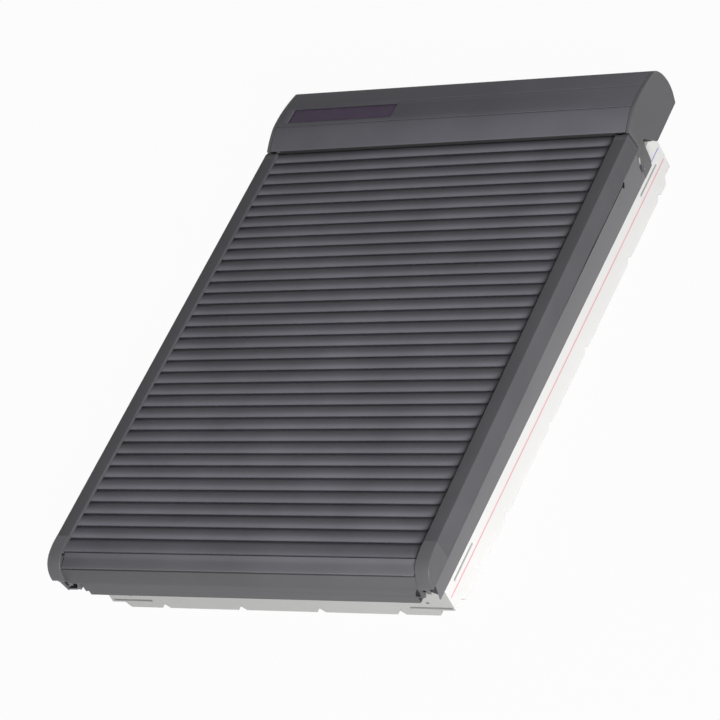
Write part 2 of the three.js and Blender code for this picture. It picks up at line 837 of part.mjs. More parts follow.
// Bottom bar: a rounded nose that meets the sill cover, trimmed at its ends to pass through the rails
const barHeight = 34;
const barNoseDepth = 21.5;
const barBackDepth = slatCrestDepth + slatThickness;
const barTongueGap = 1; // between its tongues and the front ends of the feet's channels
const barSealThickness = 1.9;
const barSealWidth = 9;
function addBottomBar() {
  const top = curtainStart - seatGap;
  const low = top - barHeight;
  const crest = -slatCrestDepth;
  const tongueTop = crest - hookTopShare * slatThickness;
  const tongueBack = crest - hookBackShare * slatThickness;
  const shape = new THREE.Shape();
  shape.moveTo(curtainStart + hookTongue, tongueBack);
  shape.lineTo(curtainStart + hookTongue, tongueTop);
  shape.lineTo(top - runGap, tongueTop);
  shape.lineTo(top - runGap, crest - slatThickness * 0.35);
  shape.quadraticCurveTo(top - barHeight * 0.08, crest, top - barHeight * 0.25, crest);
  shape.bezierCurveTo(top - barHeight * 0.6, crest, low, crest - barHeight * 0.2, low, -barNoseDepth + runGap);
  shape.lineTo(low + runGap, -barNoseDepth);
  shape.lineTo(low + barSealWidth + cutOver, -barNoseDepth);
  shape.lineTo(low + barHeight / 2, -barBackDepth);
  shape.lineTo(top, -barBackDepth);
  const bar = alongX(shape, -curtainHalf, curtainHalf);
  const trimStart = railInner - runGap;
  const trimStop = curtainHalf + cutOver;
  const tongueStart = -footChannelReach + barTongueGap;
  const under = block(trimStart, trimStop, low - cutOver, top + cutOver, -barNoseDepth - cutOver, -barBackDepth);
  const front = block(trimStart, trimStop, low - cutOver, tongueStart, -barNoseDepth - cutOver, 0);
  const bottomBar = cut(bar, under, front, mirrored(under), mirrored(front));
  place(shutterGroup, "bottom_bar", bottomBar, finishes.shutterGrey);
  const sealTop = -barNoseDepth - seatGap;
  const sealStart = low + runGap;
  const seal = new THREE.Shape();
  seal.moveTo(sealStart, sealTop);
  seal.lineTo(sealStart, sealTop - barSealThickness / 2);
  seal.quadraticCurveTo(
    sealStart + barSealWidth / 2,
    sealTop - barSealThickness * 1.5,
    sealStart + barSealWidth,
    sealTop - barSealThickness / 2,
  );
  seal.lineTo(sealStart + barSealWidth, sealTop);
  place(shutterGroup, "bottom_seal", alongX(seal, -sillCoverHalf, sillCoverHalf), finishes.black);
}

// The casing's outline as shares of its depth and height, drawn as curves from the front lip round to the base
const casingShares = {
  lip: [0.005, 0.826],
  frontPull: [0.166, 0.949],
  seam: [0.287, 0.986],
  topPullA: [0.463, 1.013],
  topPullB: [0.674, 0.969],
  shoulder: [0.868, 0.893],
  rearPullA: [0.942, 0.839],
  rearPullB: [1.053, 0.473],
  rearLow: [0.974, 0.129],
  heel: [0.942, 0],
  baseFront: [0.375, 0],
  rampTop: [0.183, 0.38],
  step: [0.136, 0.377],
  mouthLow: [0.037, 0.42],
};

function casingPoint(name) {
  const [u, v] = casingShares[name];
  return [casingStart + u * casingDepth, casingBottom + v * casingHeight];
}

// The points along a Bezier curve through the named points
function casingCurve(...names) {
  const points = names.map((name) => new THREE.Vector2(...casingPoint(name)));
  const curve =
    points.length === 3 ? new THREE.QuadraticBezierCurve(...points) : new THREE.CubicBezierCurve(...points);
  return curve.getPoints(fineArc).map((p) => [p.x, p.y]);
}

const frontCurve = casingCurve("lip", "frontPull", "seam");
const topCurve = casingCurve("seam", "topPullA", "topPullB", "shoulder");
const rearCurve = casingCurve("shoulder", "rearPullA", "rearPullB", "rearLow");

// The closed outline of the casing, drawn in from its outer faces by an even distance
function casingOutline(inset) {
  const under = ["heel", "baseFront", "rampTop", "step", "mouthLow"].map((name) => casingPoint(name));
  const loop = [...frontCurve, ...topCurve.slice(1), ...rearCurve.slice(1), ...under];
  const corners = loop.map(([a, b]) => new THREE.Vector2(a, b));
  return corners.map((corner, i) => {
    const before = corners[(i + corners.length - 1) % corners.length];
    const after = corners[(i + 1) % corners.length];
    const into = corner.clone().sub(before).normalize();
    const out = after.clone().sub(corner).normalize();
    const along = into.clone().add(out).normalize();
    const inward = new THREE.Vector2(along.y, -along.x);
    const lean = inward.dot(new THREE.Vector2(out.y, -out.x));
    const moved = corner.clone().addScaledVector(inward, inset / lean);
    return [moved.x, moved.y];
  });
}

// Solar panel: a shallow tray in the top shell, between the seam and the crest, on the left
const panelFromEnd = 21;
const panelLeft = panelFromEnd - casingHalfLength;
const panelWidth = 255;
const panelFromSeam = 10;
const panelDepth = 43;
const glassDrop = 0.2;
const glassThickness = 1.5;
const cellThickness = 0.8;

const lipReturn = 6;
function addCasing() {
  const [lipY, lipZ] = frontCurve[0];
  const frontPath = [[lipY + lipReturn, lipZ - lipReturn / 2], ...frontCurve].reverse();
  const frontShell = alongX(sheetOutline(frontPath, casingWall), -casingHalfLength, casingHalfLength);
  place(shutterGroup, "casing_front", frontShell, finishes.shutterGrey);
  const [seamY, seamZ] = topCurve[0];
  const top = [[seamY + seamGap, seamZ + seamGap / 6], ...topCurve.slice(1)];
  const topPath = [...top, ...rearCurve.slice(1)].reverse();
  const topShell = alongX(sheetOutline(topPath, casingWall), -casingHalfLength, casingHalfLength);
  const tray = panelTray(top);
  place(shutterGroup, "casing_top", cut(joined(topShell, tray.block), tray.pocket), finishes.shutterGrey);
  place(shutterGroup, "solar_cells", tray.cells, finishes.cells);
  place(shutterGroup, "solar_glass", tray.glass, finishes.glass);
  const heel = casingPoint("heel");
  const basePath = [
    [heel[0], heel[1] + seamGap],
    heel,
    casingPoint("baseFront"),
    casingPoint("rampTop"),
    casingPoint("step"),
    casingPoint("mouthLow"),
    [casingPoint("mouthLow")[0], -channelBottom - railWall - slatCrestDepth / 2],
  ].reverse();
  const baseShape = sheetOutline(basePath, casingWall);
  const baseHalf = plateInner - seatGap;
  place(shutterGroup, "casing_base", alongX(baseShape, -baseHalf, baseHalf), finishes.shutterGrey);
}

// The tray's block, pocket, cells and cover glass, laid along the chord of the top shell
function panelTray(top) {
  const start = top[0][0] + panelFromSeam;
  const stop = start + panelDepth;
  const heightAt = (y) => {
    const i = top.findIndex(([u]) => u > y);
    const [a, b] = [top[i - 1], top[i]];
    return a[1] + ((b[1] - a[1]) * (y - a[0])) / (b[0] - a[0]);
  };
  const [z0, z1] = [heightAt(start), heightAt(stop)];
  const right = panelLeft + panelWidth;
  const slab = (grow, from, to) => {
    const shape = outline([
      [start - grow, z0 - to],
      [stop + grow, z1 - to],
      [stop + grow, z1 - from],
      [start - grow, z0 - from],
    ]);
    return alongX(shape, panelLeft - grow, right + grow);
  };
  const cellTop = glassDrop + glassThickness + seatGap;
  return {
    pocket: slab(0, -cutOver * 2, casingWall * 2),
    block: slab(casingWall, casingWall / 2, casingWall * 3),
    cells: slab(-casingWall, cellTop, cellTop + cellThickness),
    glass: slab(-seatGap, glassDrop, glassDrop + glassThickness),
  };
}

// Barrel axis, on the shutter
const barrelY = casingStart + barrelFromCasingFront;
const barrelZ = -barrelDepth;
const plateOuter = casingHalfLength - seatGap;
const plateInner = plateOuter - plateThickness;
const capInner = casingHalfLength + seatGap;
const legBeforeCasing = 5;
const legWidth = 44;
const legStart = casingStart - legBeforeCasing;
const legStop = legStart + legWidth;
const legDrop = 6.5; // how far it hangs past the frame's top, beside the frame
const legShoulder = 12;
const legHead = 40;
const footFlangeWidth = 62;

// End plates: the casing's inner outline, with a leg that stands on the frame beside the side cover
function addEndPlatesAndCaps() {
  const whole = alongX(outline(casingOutline(casingWall + seatGap)), plateInner, plateOuter);
  const [lipY, lipZ] = frontCurve[0];
  const lipRoom = block(
    plateInner - cutOver,
    plateOuter + cutOver,
    lipY - cutOver,
    lipY + lipReturn + casingWall + seatGap,
    lipZ - lipReturn - casingWall,
    lipZ + lipReturn + casingWall,
  );
  const plate = cut(whole, lipRoom);
  const frameTop = frameHeight + seatGap;
  const toShutter = (y) => -levelUnderShutter(y, 0) + frameTop;
  const seat = Math.max(toShutter(legStart), toShutter(legStop));
  const legLow = seat - legDrop;
  const leg = alongX(
    outline([
      [legStart, legLow],
      [legStop - legShoulder / 2, legLow],
      [legStop, legLow + legShoulder],
      [legStop + legShoulder / 2, -legHead],
      [casingStart + legHead, casingPoint("step")[1] + legShoulder * 2],
      [casingStart + legShoulder, casingPoint("step")[1] + legShoulder],
      [casingStart + legShoulder, casingPoint("step")[1]],
      [legStart, -legHead - legShoulder],
    ]),
    plateInner,
    plateOuter,
  );
  const flange = block(plateOuter - footFlangeWidth, plateOuter, legStart, legStop - legShoulder / 2, seat, seat + plateThickness);
  const pinHole = barX(pinRadius + runGap, plateInner - cutOver, plateOuter + cutOver, barrelY, barrelZ);
  const right = joined(plate, leg, flange);
  place(shutterGroup, "end_plate_right", right, finishes.coverGrey);
  place(shutterGroup, "end_plate_left", mirrored(cut(right, pinHole)), finishes.coverGrey);
  const capDepth = shutterHalf - capInner - capEdgeRound;
  const cap = new THREE.ExtrudeGeometry(outline(casingOutline(capEdgeRound)), {
    depth: capDepth,
    bevelEnabled: true,
    bevelThickness: capEdgeRound,
    bevelSize: capEdgeRound,
    bevelSegments: 3,
  });
  cap.applyMatrix4(new THREE.Matrix4().makeBasis(Y, Z, X));
  cap.translate(capInner, 0, 0);
  const flush = block(capInner - capEdgeRound * 2, capInner, casingStart - casingDepth, casingStart + casingDepth * 2, -casingDepth, casingDepth);
  const capRight = cut(cap, flush);
  place(shutterGroup, "end_cap_right", capRight, finishes.plasticGrey);
  place(shutterGroup, "end_cap_left", mirrored(capRight), finishes.plasticGrey);
}

function tubeX(outerRadius, innerRadius, x0, x1, sides) {
  const shape = new THREE.Shape();
  const hole = new THREE.Path();
  const ring = (radius) =>
    Array.from({ length: sides }, (_, i) => {
      const turn = ((i + 0.5) / sides) * Math.PI * 2;
      return new THREE.Vector2(barrelY + radius * Math.cos(turn), barrelZ + radius * Math.sin(turn));
    });
  shape.setFromPoints(ring(outerRadius));
  hole.setFromPoints(ring(innerRadius));
  shape.holes.push(hole);
  return alongX(shape, x0, x1);
}

// Barrel, with the tube motor inside its right end and a plug on a pin at its left end
function addDrive() {
  const tubeEnd = plateInner - barrelEndGap;
  const inside = barrelRadius * Math.cos(Math.PI / barrelSides) - barrelWall - seatGap;
  place(shutterGroup, "barrel_tube", tubeX(barrelRadius, barrelRadius - barrelWall, -tubeEnd, tubeEnd, barrelSides), finishes.steel);
  const headStart = tubeEnd + runGap;
  const headEnd = plateInner - seatGap;
  const motorEnd = headStart - motorLength;
  const driveWidth = barrelEndGap;
  const shaftEnd = motorEnd - driveWidth;
  const motor = joined(
    barX(motorHeadRadius, headStart, headEnd, barrelY, barrelZ),
    barX(motorRadius, motorEnd, headStart + cutOver, barrelY, barrelZ),
    barX(pinRadius, shaftEnd, motorEnd + cutOver, barrelY, barrelZ),
  );
  place(shutterGroup, "tube_motor", motor, finishes.steel);
  const wheel = cut(
    barX(inside, shaftEnd + seatGap, motorEnd - runGap, barrelY, barrelZ),
    barX(pinRadius + seatGap, shaftEnd - cutOver, motorEnd + cutOver, barrelY, barrelZ),
  );
  place(shutterGroup, "drive_wheel", wheel, finishes.plasticGrey);
  const plugEnd = tubeEnd + runGap;
  const plug = joined(
    barX(inside, -tubeEnd, -tubeEnd + barrelEndGap, barrelY, barrelZ),
    barX(pinRadius, -plateOuter, -plugEnd + cutOver, barrelY, barrelZ),
  );
  place(shutterGroup, "idler_plug", plug, finishes.plasticGrey);
  const bearing = cut(
    barX(pinRadius * 2, -plateInner + seatGap, -plugEnd - runGap, barrelY, barrelZ),
    barX(pinRadius + seatGap, -plateOuter, -tubeEnd, barrelY, barrelZ),
  );
  place(shutterGroup, "idler_bearing", bearing, finishes.plasticGrey);
  addHangers();
}

// Rings on the barrel and the flat links that lie over them and hold the top slat
const hangerShares = [-0.62, 0.62];
const ringRadius = 22;
const ringWidth = 22;
const linkWidth = 18;
const linkThickness = 1.2;
const linkPastAxis = 8;
function addHangers() {
  const curtainTop = curtainStart + slatCount * slatPitch;
  const linkBack = barrelZ + ringRadius + runGap;
  const crest = -slatCrestDepth;
  ["left", "right"].forEach((side, i) => {
    const centre = hangerShares[i] * railInner;
    const ring = cut(
      barX(ringRadius, centre - ringWidth / 2, centre + ringWidth / 2, barrelY, barrelZ, 32),
      tubeCore(centre),
    );
    place(shutterGroup, "lock_ring_" + side, ring, finishes.plasticGrey);
    const hookStart = curtainTop + hookTongue + seatGap;
    const link = outline([
      [hookStart, crest - slatThickness],
      [barrelY - linkPastAxis, linkBack],
      [barrelY + linkPastAxis, linkBack],
      [barrelY + linkPastAxis, linkBack + linkThickness],
      [barrelY - linkPastAxis, linkBack + linkThickness],
      [hookStart + hookTongue, crest - slatThickness + linkThickness * 2],
      [hookStart + hookTongue, crest - slatThickness * 0.4],
      [hookStart, crest - slatThickness * 0.4],
    ]);
    const geometry = alongX(link, centre - linkWidth / 2, centre + linkWidth / 2);
    place(shutterGroup, "hanger_link_" + side, geometry, finishes.steel);
  });
}

function tubeCore(centre) {
  const ring = Array.from({ length: barrelSides }, (_, i) => {
    const turn = ((i + 0.5) / barrelSides) * Math.PI * 2;
    const radius = barrelRadius + seatGap;
    return [barrelY + radius * Math.cos(turn), barrelZ + radius * Math.sin(turn)];
  });
  return alongX(outline(ring), centre - ringWidth, centre + ringWidth);
}

// Battery and control box, on the casing's base behind the barrel
const boxFromFront = 124;
const boxDepth = 50;
const boxHeight = 44;
const batteryShares = [0.05, 0.75];
const controlShares = [-0.75, -0.25];
const boxCorner = 4;
function addElectrics() {
  const y0 = casingStart + boxFromFront;
  const z0 = casingBottom + casingWall + seatGap;
  const box = outline([
    [y0 + boxCorner, z0],
    [y0 + boxDepth, z0],
    [y0 + boxDepth, z0 + boxHeight - boxCorner],
    [y0 + boxDepth - boxCorner, z0 + boxHeight],
    [y0 + boxCorner, z0 + boxHeight],
    [y0, z0 + boxHeight - boxCorner],
    [y0, z0 + boxCorner],
  ]);
  place(shutterGroup, "battery_pack", alongX(box, ...batteryShares.map((share) => share * railInner)), finishes.black);
  place(shutterGroup, "control_box", alongX(box, ...controlShares.map((share) => share * railInner)), finishes.plasticGrey);
}

addFrame();
addSash();
addSideCovers();
addSillCover();
addHeadCover();
addRails();
addCurtain();
addCasing();
addEndPlatesAndCaps();
addDrive();
addElectrics();

export default root;
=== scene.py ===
# Dresses the roof window and its outside roller shutter. Sizes in the dictionaries are millimetres, as in the CAD.
import math

import bmesh
import bpy
from mathutils import Matrix, Vector


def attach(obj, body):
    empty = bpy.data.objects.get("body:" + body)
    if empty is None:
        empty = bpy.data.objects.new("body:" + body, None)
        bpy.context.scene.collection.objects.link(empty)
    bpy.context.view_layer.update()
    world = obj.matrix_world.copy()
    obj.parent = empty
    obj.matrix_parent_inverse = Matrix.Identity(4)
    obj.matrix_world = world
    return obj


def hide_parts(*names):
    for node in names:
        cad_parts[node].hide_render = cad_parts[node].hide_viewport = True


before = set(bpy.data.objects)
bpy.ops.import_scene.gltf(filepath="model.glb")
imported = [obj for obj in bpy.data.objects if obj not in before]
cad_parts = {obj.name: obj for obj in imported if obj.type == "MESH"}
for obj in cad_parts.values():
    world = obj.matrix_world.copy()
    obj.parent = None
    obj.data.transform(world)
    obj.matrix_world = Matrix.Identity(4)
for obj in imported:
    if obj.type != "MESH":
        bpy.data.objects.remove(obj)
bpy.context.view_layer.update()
print("frame loaded,", len(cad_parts), "nodes")

mm = 0.001
weld = 0.002 * mm
window = {"sillBack": -6, "width": 780, "length": 1178}
shutter = {"tilt": 1.37, "seat": (0, -6, 193.7), "half": 430, "railHeight": 46}

# Camera, floor and lamps
cameraSetup = {
    "place": (3.960007, -3.684557, 4.352847),
    "right": (0.83264668, 0.37866569, -0.40411855),
    "up": (0.01426387, 0.71480759, 0.6991757),
    "back": (0.55362085, -0.58793062, 0.58978093),
    "lens": 184.91,
    "sensor": 36,
}


def addCamera(setup):
    bpy.ops.object.camera_add(location=setup["place"])
    camera = bpy.context.object
    camera.name = "photoCamera"
    turn = Matrix([setup["right"], setup["up"], setup["back"]]).transposed()
    camera.rotation_euler = turn.to_euler()
    camera.data.lens = setup["lens"]
    camera.data.sensor_width = setup["sensor"]
    camera.data.sensor_fit = "HORIZONTAL"
    bpy.context.scene.camera = camera


addCamera(cameraSetup)

studio = {
    "skyLevel": 0.04,
    "white": (1, 1, 1, 1),
    "floorSize": 60,
    "floorShadow": 0.035,
    "floorColour": (0.5, 0.5, 0.5, 1),
    "floorRoughness": 0.9,
    "lamps": [
        {"name": "softLamp", "place": (4.34, -4.21, 2.7), "size": 2.8, "power": 630},
        {"name": "backLamp", "place": (1.6, 6.2, 0.35), "size": 1.2, "power": 130},
        {"name": "leftLamp", "place": (-6, 0.9, 0.3), "size": 1.2, "power": 85},
    ],
    "aim": (0, 0.55, 0.1),
}


# Sets the inputs of a node to plain values, or links them to other nodes' sockets
def feed(tree, node, inputs):
    for key, value in inputs.items():
        if isinstance(value, bpy.types.NodeSocket):
            tree.links.new(value, node.inputs[key])
        else:
            node.inputs[key].default_value = value


def newNode(tree, kind, inputs):
    node = tree.nodes.new("ShaderNode" + kind)
    feed(tree, node, inputs)
    return node


def maths(tree, operation, a, b):
    node = newNode(tree, "Math", {0: a, 1: b})
    node.operation = operation
    return node.outputs[0]


# Plain white for what the camera, gloss and glass see, and the lit shader for the light itself
def whiteBehind(tree, kind, lit, share):
    white = newNode(tree, kind, {"Color": studio["white"], "Strength": 1}).outputs[0]
    path = tree.nodes.new("ShaderNodeLightPath").outputs
    seen = maths(tree, "MAXIMUM", path["Is Camera Ray"], path["Is Glossy Ray"])
    seen = maths(tree, "MAXIMUM", seen, path["Is Transmission Ray"])
    return newNode(tree, "MixShader", {0: maths(tree, "MULTIPLY", seen, share), 1: lit, 2: white}).outputs[0]


def addSky(setup):
    world = bpy.data.worlds.new("studioSky")
    bpy.context.scene.world = world
    world.use_nodes = True
    tree = world.node_tree
    sky = tree.nodes["Background"]
    feed(tree, sky, {"Color": setup["white"], "Strength": setup["skyLevel"]})
    mixed = whiteBehind(tree, "Background", sky.outputs[0], 1)
    feed(tree, tree.nodes["World Output"], {"Surface": mixed})


def addFloor(setup):
    bpy.ops.mesh.primitive_plane_add(size=setup["floorSize"], location=(0, 0, 0))
    floor = bpy.context.object
    floor.name = "studioFloor"
    paper = bpy.data.materials.new("floorPaper")
    paper.use_nodes = True
    tree = paper.node_tree
    matt = tree.nodes["Principled BSDF"]
    look = {"Base Color": setup["floorColour"], "Roughness": setup["floorRoughness"], "Specular IOR Level": 0}
    feed(tree, matt, look)
    mixed = whiteBehind(tree, "Emission", matt.outputs[0], 1 - setup["floorShadow"])
    feed(tree, tree.nodes["Material Output"], {"Surface": mixed})
    floor.data.materials.append(paper)


def addLamps(setup):
    for lamp in setup["lamps"]:
        bpy.ops.object.light_add(type="AREA", location=lamp["place"])
        light = bpy.context.object
        light.name = lamp["name"]
        light.data.shape = "DISK"
        light.data.size = lamp["size"]
        light.data.energy = lamp["power"]
        toward = Vector(setup["aim"]) - Vector(lamp["place"])
        light.rotation_euler = toward.to_track_quat("-Z", "Y").to_euler()


addSky(studio)
addFloor(studio)
addLamps(studio)
bpy.context.scene.view_settings.view_transform = "Standard"
print("camera, floor and lamps are in place")

# What a finish has where its recipe says nothing else, and how its cloud and grain are mixed
usualFinish = {"tone": 0.12, "roughness": 0.5, "grain": 1400, "grainDepth": 0.05, "gloss": 0.5, "metal": 0}
coat = {"cloud": 7, "cloudDetail": 4, "grainDetail": 2, "cloudShare": 0.65, "roughChange": 0.16, "dent": 0.4 * mm}
whiteCoat = {"tone": 0.03, "grain": 700, "grainDepth": 0.04}
linePaint = {"tone": 0.08, "grain": 900, "grainDepth": 0.04}
finishRecipes = {
    "railLacquer": {"colour": (0.112, 0.111, 0.121), "roughness": 0.55, "gloss": 0.05},
    # A lighter copy of the rail lacquer: painted light for the bar's lit front.
    "barLacquer": {"colour": (0.14, 0.139, 0.151), "roughness": 0.55, "gloss": 0.05},
    "footLacquer": {"colour": (0.097, 0.096, 0.103), "roughness": 0.34, "gloss": 0.35},
    "casingLacquer": {"colour": (0.141, 0.14, 0.158), "gloss": 0.05},
    "slatLacquer": {"colour": (0.137, 0.136, 0.153), "tone": 0.16, "roughness": 0.34, "grain": 1100, "gloss": 0.015},
    "coverLacquer": {"colour": (0.144, 0.144, 0.151), "tone": 0.1, "roughness": 0.4, "grainDepth": 0.06, "gloss": 0.25},
    # A darker copy of the cover lacquer: painted shade for the sill cover's front.
    "sillLacquer": {"colour": (0.106, 0.106, 0.112), "tone": 0.1, "roughness": 0.45, "grainDepth": 0.06, "gloss": 0.1},
    # Near-black lacquer on the casing's base: painted shadow for the dark gap under the casing's lip.
    "baseLacquer": {"colour": (0.047, 0.047, 0.051), "tone": 0.15, "roughness": 0.55, "gloss": 0.1},
    "mouldedGrey": {"colour": (0.122, 0.122, 0.127), "tone": 0.1, "grain": 2200, "grainDepth": 0.16, "gloss": 0.12},
    "bracketGrey": {"colour": (0.133, 0.133, 0.138), "tone": 0.16, "roughness": 0.45, "grain": 900, "gloss": 0.2},
    # Grey for the bars set in the frame's slots: painted shade that darkens the slots.
    "slotGrey": {"colour": (0.158, 0.158, 0.153), "tone": 0.1, "roughness": 0.6, "grain": 900},
    "windowWhite": {**whiteCoat, "colour": (0.8, 0.794, 0.784), "roughness": 0.42},
    "sashWhite": {**whiteCoat, "colour": (0.9, 0.9, 0.9), "roughness": 0.35},
    # The sill's white is a greyer copy of the frame's white: painted shade for the dimmer light on the sill's front
    # face.
    "sillWhite": {**whiteCoat, "colour": (0.419, 0.419, 0.412), "roughness": 0.45, "gloss": 0.4},
    "blackPlastic": {"colour": (0.018, 0.018, 0.02), "tone": 0.2, "roughness": 0.55, "grain": 1800, "grainDepth": 0.12},
    "sealRubber": {"colour": (0.014, 0.014, 0.015), "tone": 0.2, "roughness": 0.75, "grain": 1500, "grainDepth": 0.18},
    "platedSteel": {"colour": (0.58, 0.58, 0.57), "roughness": 0.34, "grain": 600, "metal": 1},
    "screwSteel": {"colour": (0.213, 0.213, 0.219), "tone": 0.15, "roughness": 0.35, "grain": 900, "metal": 1},
    "spacerMetal": {**linePaint, "colour": (0.878, 0.891, 0.9), "tone": 0.06, "roughness": 0.3, "metal": 1},
    "redPaint": {**linePaint, "colour": (0.798, 0.359, 0.386)},
    "bluePaint": {**linePaint, "colour": (0.319, 0.293, 0.585)},
}


def startFinish(name):
    material = bpy.data.materials.new(name)
    material.use_nodes = True
    tree = material.node_tree
    return material, tree, tree.nodes.new("ShaderNodeTexCoord").outputs["Object"]


def noise(tree, place, scale, detail):
    return newNode(tree, "TexNoise", {"Vector": place, "Scale": scale, "Detail": detail}).outputs["Fac"]


def colourRamp(tree, level, dark, bright):
    ramp = newNode(tree, "ValToRGB", {"Fac": level})
    for end, at, colour in zip(ramp.color_ramp.elements, (0.3, 0.7), (dark, bright)):
        end.position = at
        end.color = (*colour, 1)
    return ramp.outputs["Color"]


# A level that a noise lifts by up to the given change
def uneven(tree, level, source, change):
    return maths(tree, "ADD", maths(tree, "MULTIPLY", source, change), level)


# A cloudy change of tone, and a fine grain that dents the coat
def makeFinish(name, recipe):
    recipe = {**usualFinish, **recipe}
    material, tree, place = startFinish(name)
    cloud = noise(tree, place, coat["cloud"], coat["cloudDetail"])
    grain = noise(tree, place, recipe["grain"], coat["grainDetail"])
    share, change = coat["cloudShare"], coat["roughChange"]
    blend = uneven(tree, maths(tree, "MULTIPLY", grain, 1 - share), cloud, share)
    dark, bright = ([min(c * (1 + way * recipe["tone"]), 1) for c in recipe["colour"]] for way in (-1, 1))
    dents = newNode(tree, "Bump", {"Strength": recipe["grainDepth"], "Distance": coat["dent"], "Height": grain})
    look = {
        "Metallic": recipe["metal"],
        "Specular IOR Level": recipe["gloss"],
        "Base Color": colourRamp(tree, blend, dark, bright),
        "Roughness": uneven(tree, recipe["roughness"] - change / 2, cloud, change),
        "Normal": dents.outputs["Normal"],
    }
    feed(tree, tree.nodes["Principled BSDF"], look)
    return material


# Clear pieces: what their shader is set to, and the fine dust that roughens them
clearRecipes = {
    "paneGlass": {
        "shader": {"Base Color": (0.86, 0.93, 0.92, 1), "Transmission Weight": 0.94, "IOR": 1.45},
        "dust": 26,
        "dustDepth": 0.05,
        "roughness": 0.02,
    },
    "clearCover": {
        "shader": {"Base Color": (0.16, 0.1, 0.2, 1), "Alpha": 0.1, "Specular IOR Level": 0.15},
        "dust": 40,
        "dustDepth": 0.08,
        "roughness": 0.25,
    },
}


def makeClear(name, recipe):
    material, tree, place = startFinish(name)
    rough = uneven(tree, recipe["roughness"], noise(tree, place, recipe["dust"], 5), recipe["dustDepth"])
    feed(tree, tree.nodes["Principled BSDF"], {**recipe["shader"], "Roughness": rough})
    return material


# Dark violet cells side by side, split by brighter hairlines, under the panel's clear cover
solarPattern = {
    "left": -395,
    "cellWidth": 31.4,
    "hairline": 0.7,
    "cloud": 60,
    "dark": (0.03, 0.018, 0.05),
    "bright": (0.068, 0.034, 0.078),
    "line": (0.075, 0.055, 0.1, 1),
    "roughness": 0.3,
    "gloss": 0.15,
}


def makeSolarCells(recipe):
    material, tree, place = startFinish("solarCellFilm")
    across = newNode(tree, "SeparateXYZ", {0: place}).outputs["X"]
    across = maths(tree, "ADD", across, -recipe["left"] * mm)
    across = maths(tree, "MODULO", across, recipe["cellWidth"] * mm)
    line = maths(tree, "LESS_THAN", across, recipe["hairline"] * mm)
    cloud = noise(tree, place, recipe["cloud"], 6)
    mix = tree.nodes.new("ShaderNodeMix")
    mix.data_type = "RGBA"
    cells = colourRamp(tree, cloud, recipe["dark"], recipe["bright"])
    feed(tree, mix, {"Factor": line, "A": cells, "B": recipe["line"]})
    look = {
        "Base Color": mix.outputs["Result"],
        "Roughness": recipe["roughness"],
        "Specular IOR Level": recipe["gloss"],
    }
    feed(tree, tree.nodes["Principled BSDF"], look)
    return material


finishes = {name: makeFinish(name, recipe) for name, recipe in finishRecipes.items()}
for name, recipe in clearRecipes.items():
    finishes[name] = makeClear(name, recipe)
finishes["solarCellFilm"] = makeSolarCells(solarPattern)


def bothSides(*names):
    return [f"{name}_{side}" for name in names for side in ("left", "right")]


cadFinishes = {
    "railLacquer": [*bothSides("rail", "rail_foot"), "bottom_bar"],
    "casingLacquer": ["casing_front", "casing_top"],
    # The casing's base takes the near-black lacquer, which is painted shadow under the lip.
    "baseLacquer": ["casing_base"],
    "slatLacquer": [f"slats_{i:02d}" for i in range(1, 13)],
    "coverLacquer": [*bothSides("side_cover"), "sill_cover", "head_cover", "sash_cladding"],
    "mouldedGrey": bothSides("rail_end", "end_cap"),
    "bracketGrey": bothSides("end_plate"),
    "windowWhite": [*bothSides("frame"), "frame_sill", "frame_head"],
    "sashWhite": ["sash_bottom_rail", "sash_top_rail", "sash_left_stile", "sash_right_stile"],
    "blackPlastic": ["idler_bearing", "idler_plug", "battery_pack", "control_box", "drive_wheel"]
    + bothSides("lock_ring"),
    "sealRubber": ["bottom_seal"],
    "platedSteel": ["tube_motor", "barrel_tube", "handle_plate", "handle_lever"]
    + bothSides("pivot_pin", "hanger_link"),
    "spacerMetal": ["pane_spacer"],
    "paneGlass": ["inner_pane", "outer_pane", "solar_glass"],
    "solarCellFilm": ["solar_cells"],
}


def dressNodes(table):
    for finish, names in table.items():
        for name in names:
            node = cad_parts[name]
            if not node.material_slots:
                node.data.materials.append(finishes[finish])
            for place in node.material_slots:
                place.material = finishes[finish]


dressNodes(cadFinishes)
print("finishes are on", sum(len(names) for names in cadFinishes.values()), "CAD nodes")


def clearSelection():
    if bpy.context.mode != "OBJECT":
        bpy.ops.object.mode_set(mode="OBJECT")
    bpy.ops.object.select_all(action="DESELECT")


def pickOnly(piece):
    clearSelection()
    piece.select_set(True)
    bpy.context.view_layer.objects.active = piece


def edit(piece):
    pickOnly(piece)
    bpy.ops.object.mode_set(mode="EDIT")


def editAll(piece):
    edit(piece)
    bpy.ops.mesh.select_all(action="SELECT")


def leaveEdit():
    bpy.ops.object.mode_set(mode="OBJECT")


# Selects the vertices, edges or faces of the edited piece that pass the test
def pick(piece, kind, test):
    bpy.ops.mesh.select_mode(type={"verts": "VERT", "edges": "EDGE", "faces": "FACE"}[kind])
    bpy.ops.mesh.select_all(action="DESELECT")
    mesh = bmesh.from_edit_mesh(piece.data)
    for element in getattr(mesh, kind):
        if test(element):
            element.select_set(True)
    mesh.select_flush_mode()
    bmesh.update_edit_mesh(piece.data)


def applyPlace(piece):
    pickOnly(piece)
    bpy.ops.object.transform_apply(location=True, rotation=True, scale=True)


def turnFacesOut(piece):
    editAll(piece)
    bpy.ops.mesh.remove_doubles(threshold=weld)
    bpy.ops.mesh.normals_make_consistent(inside=False)
    leaveEdit()


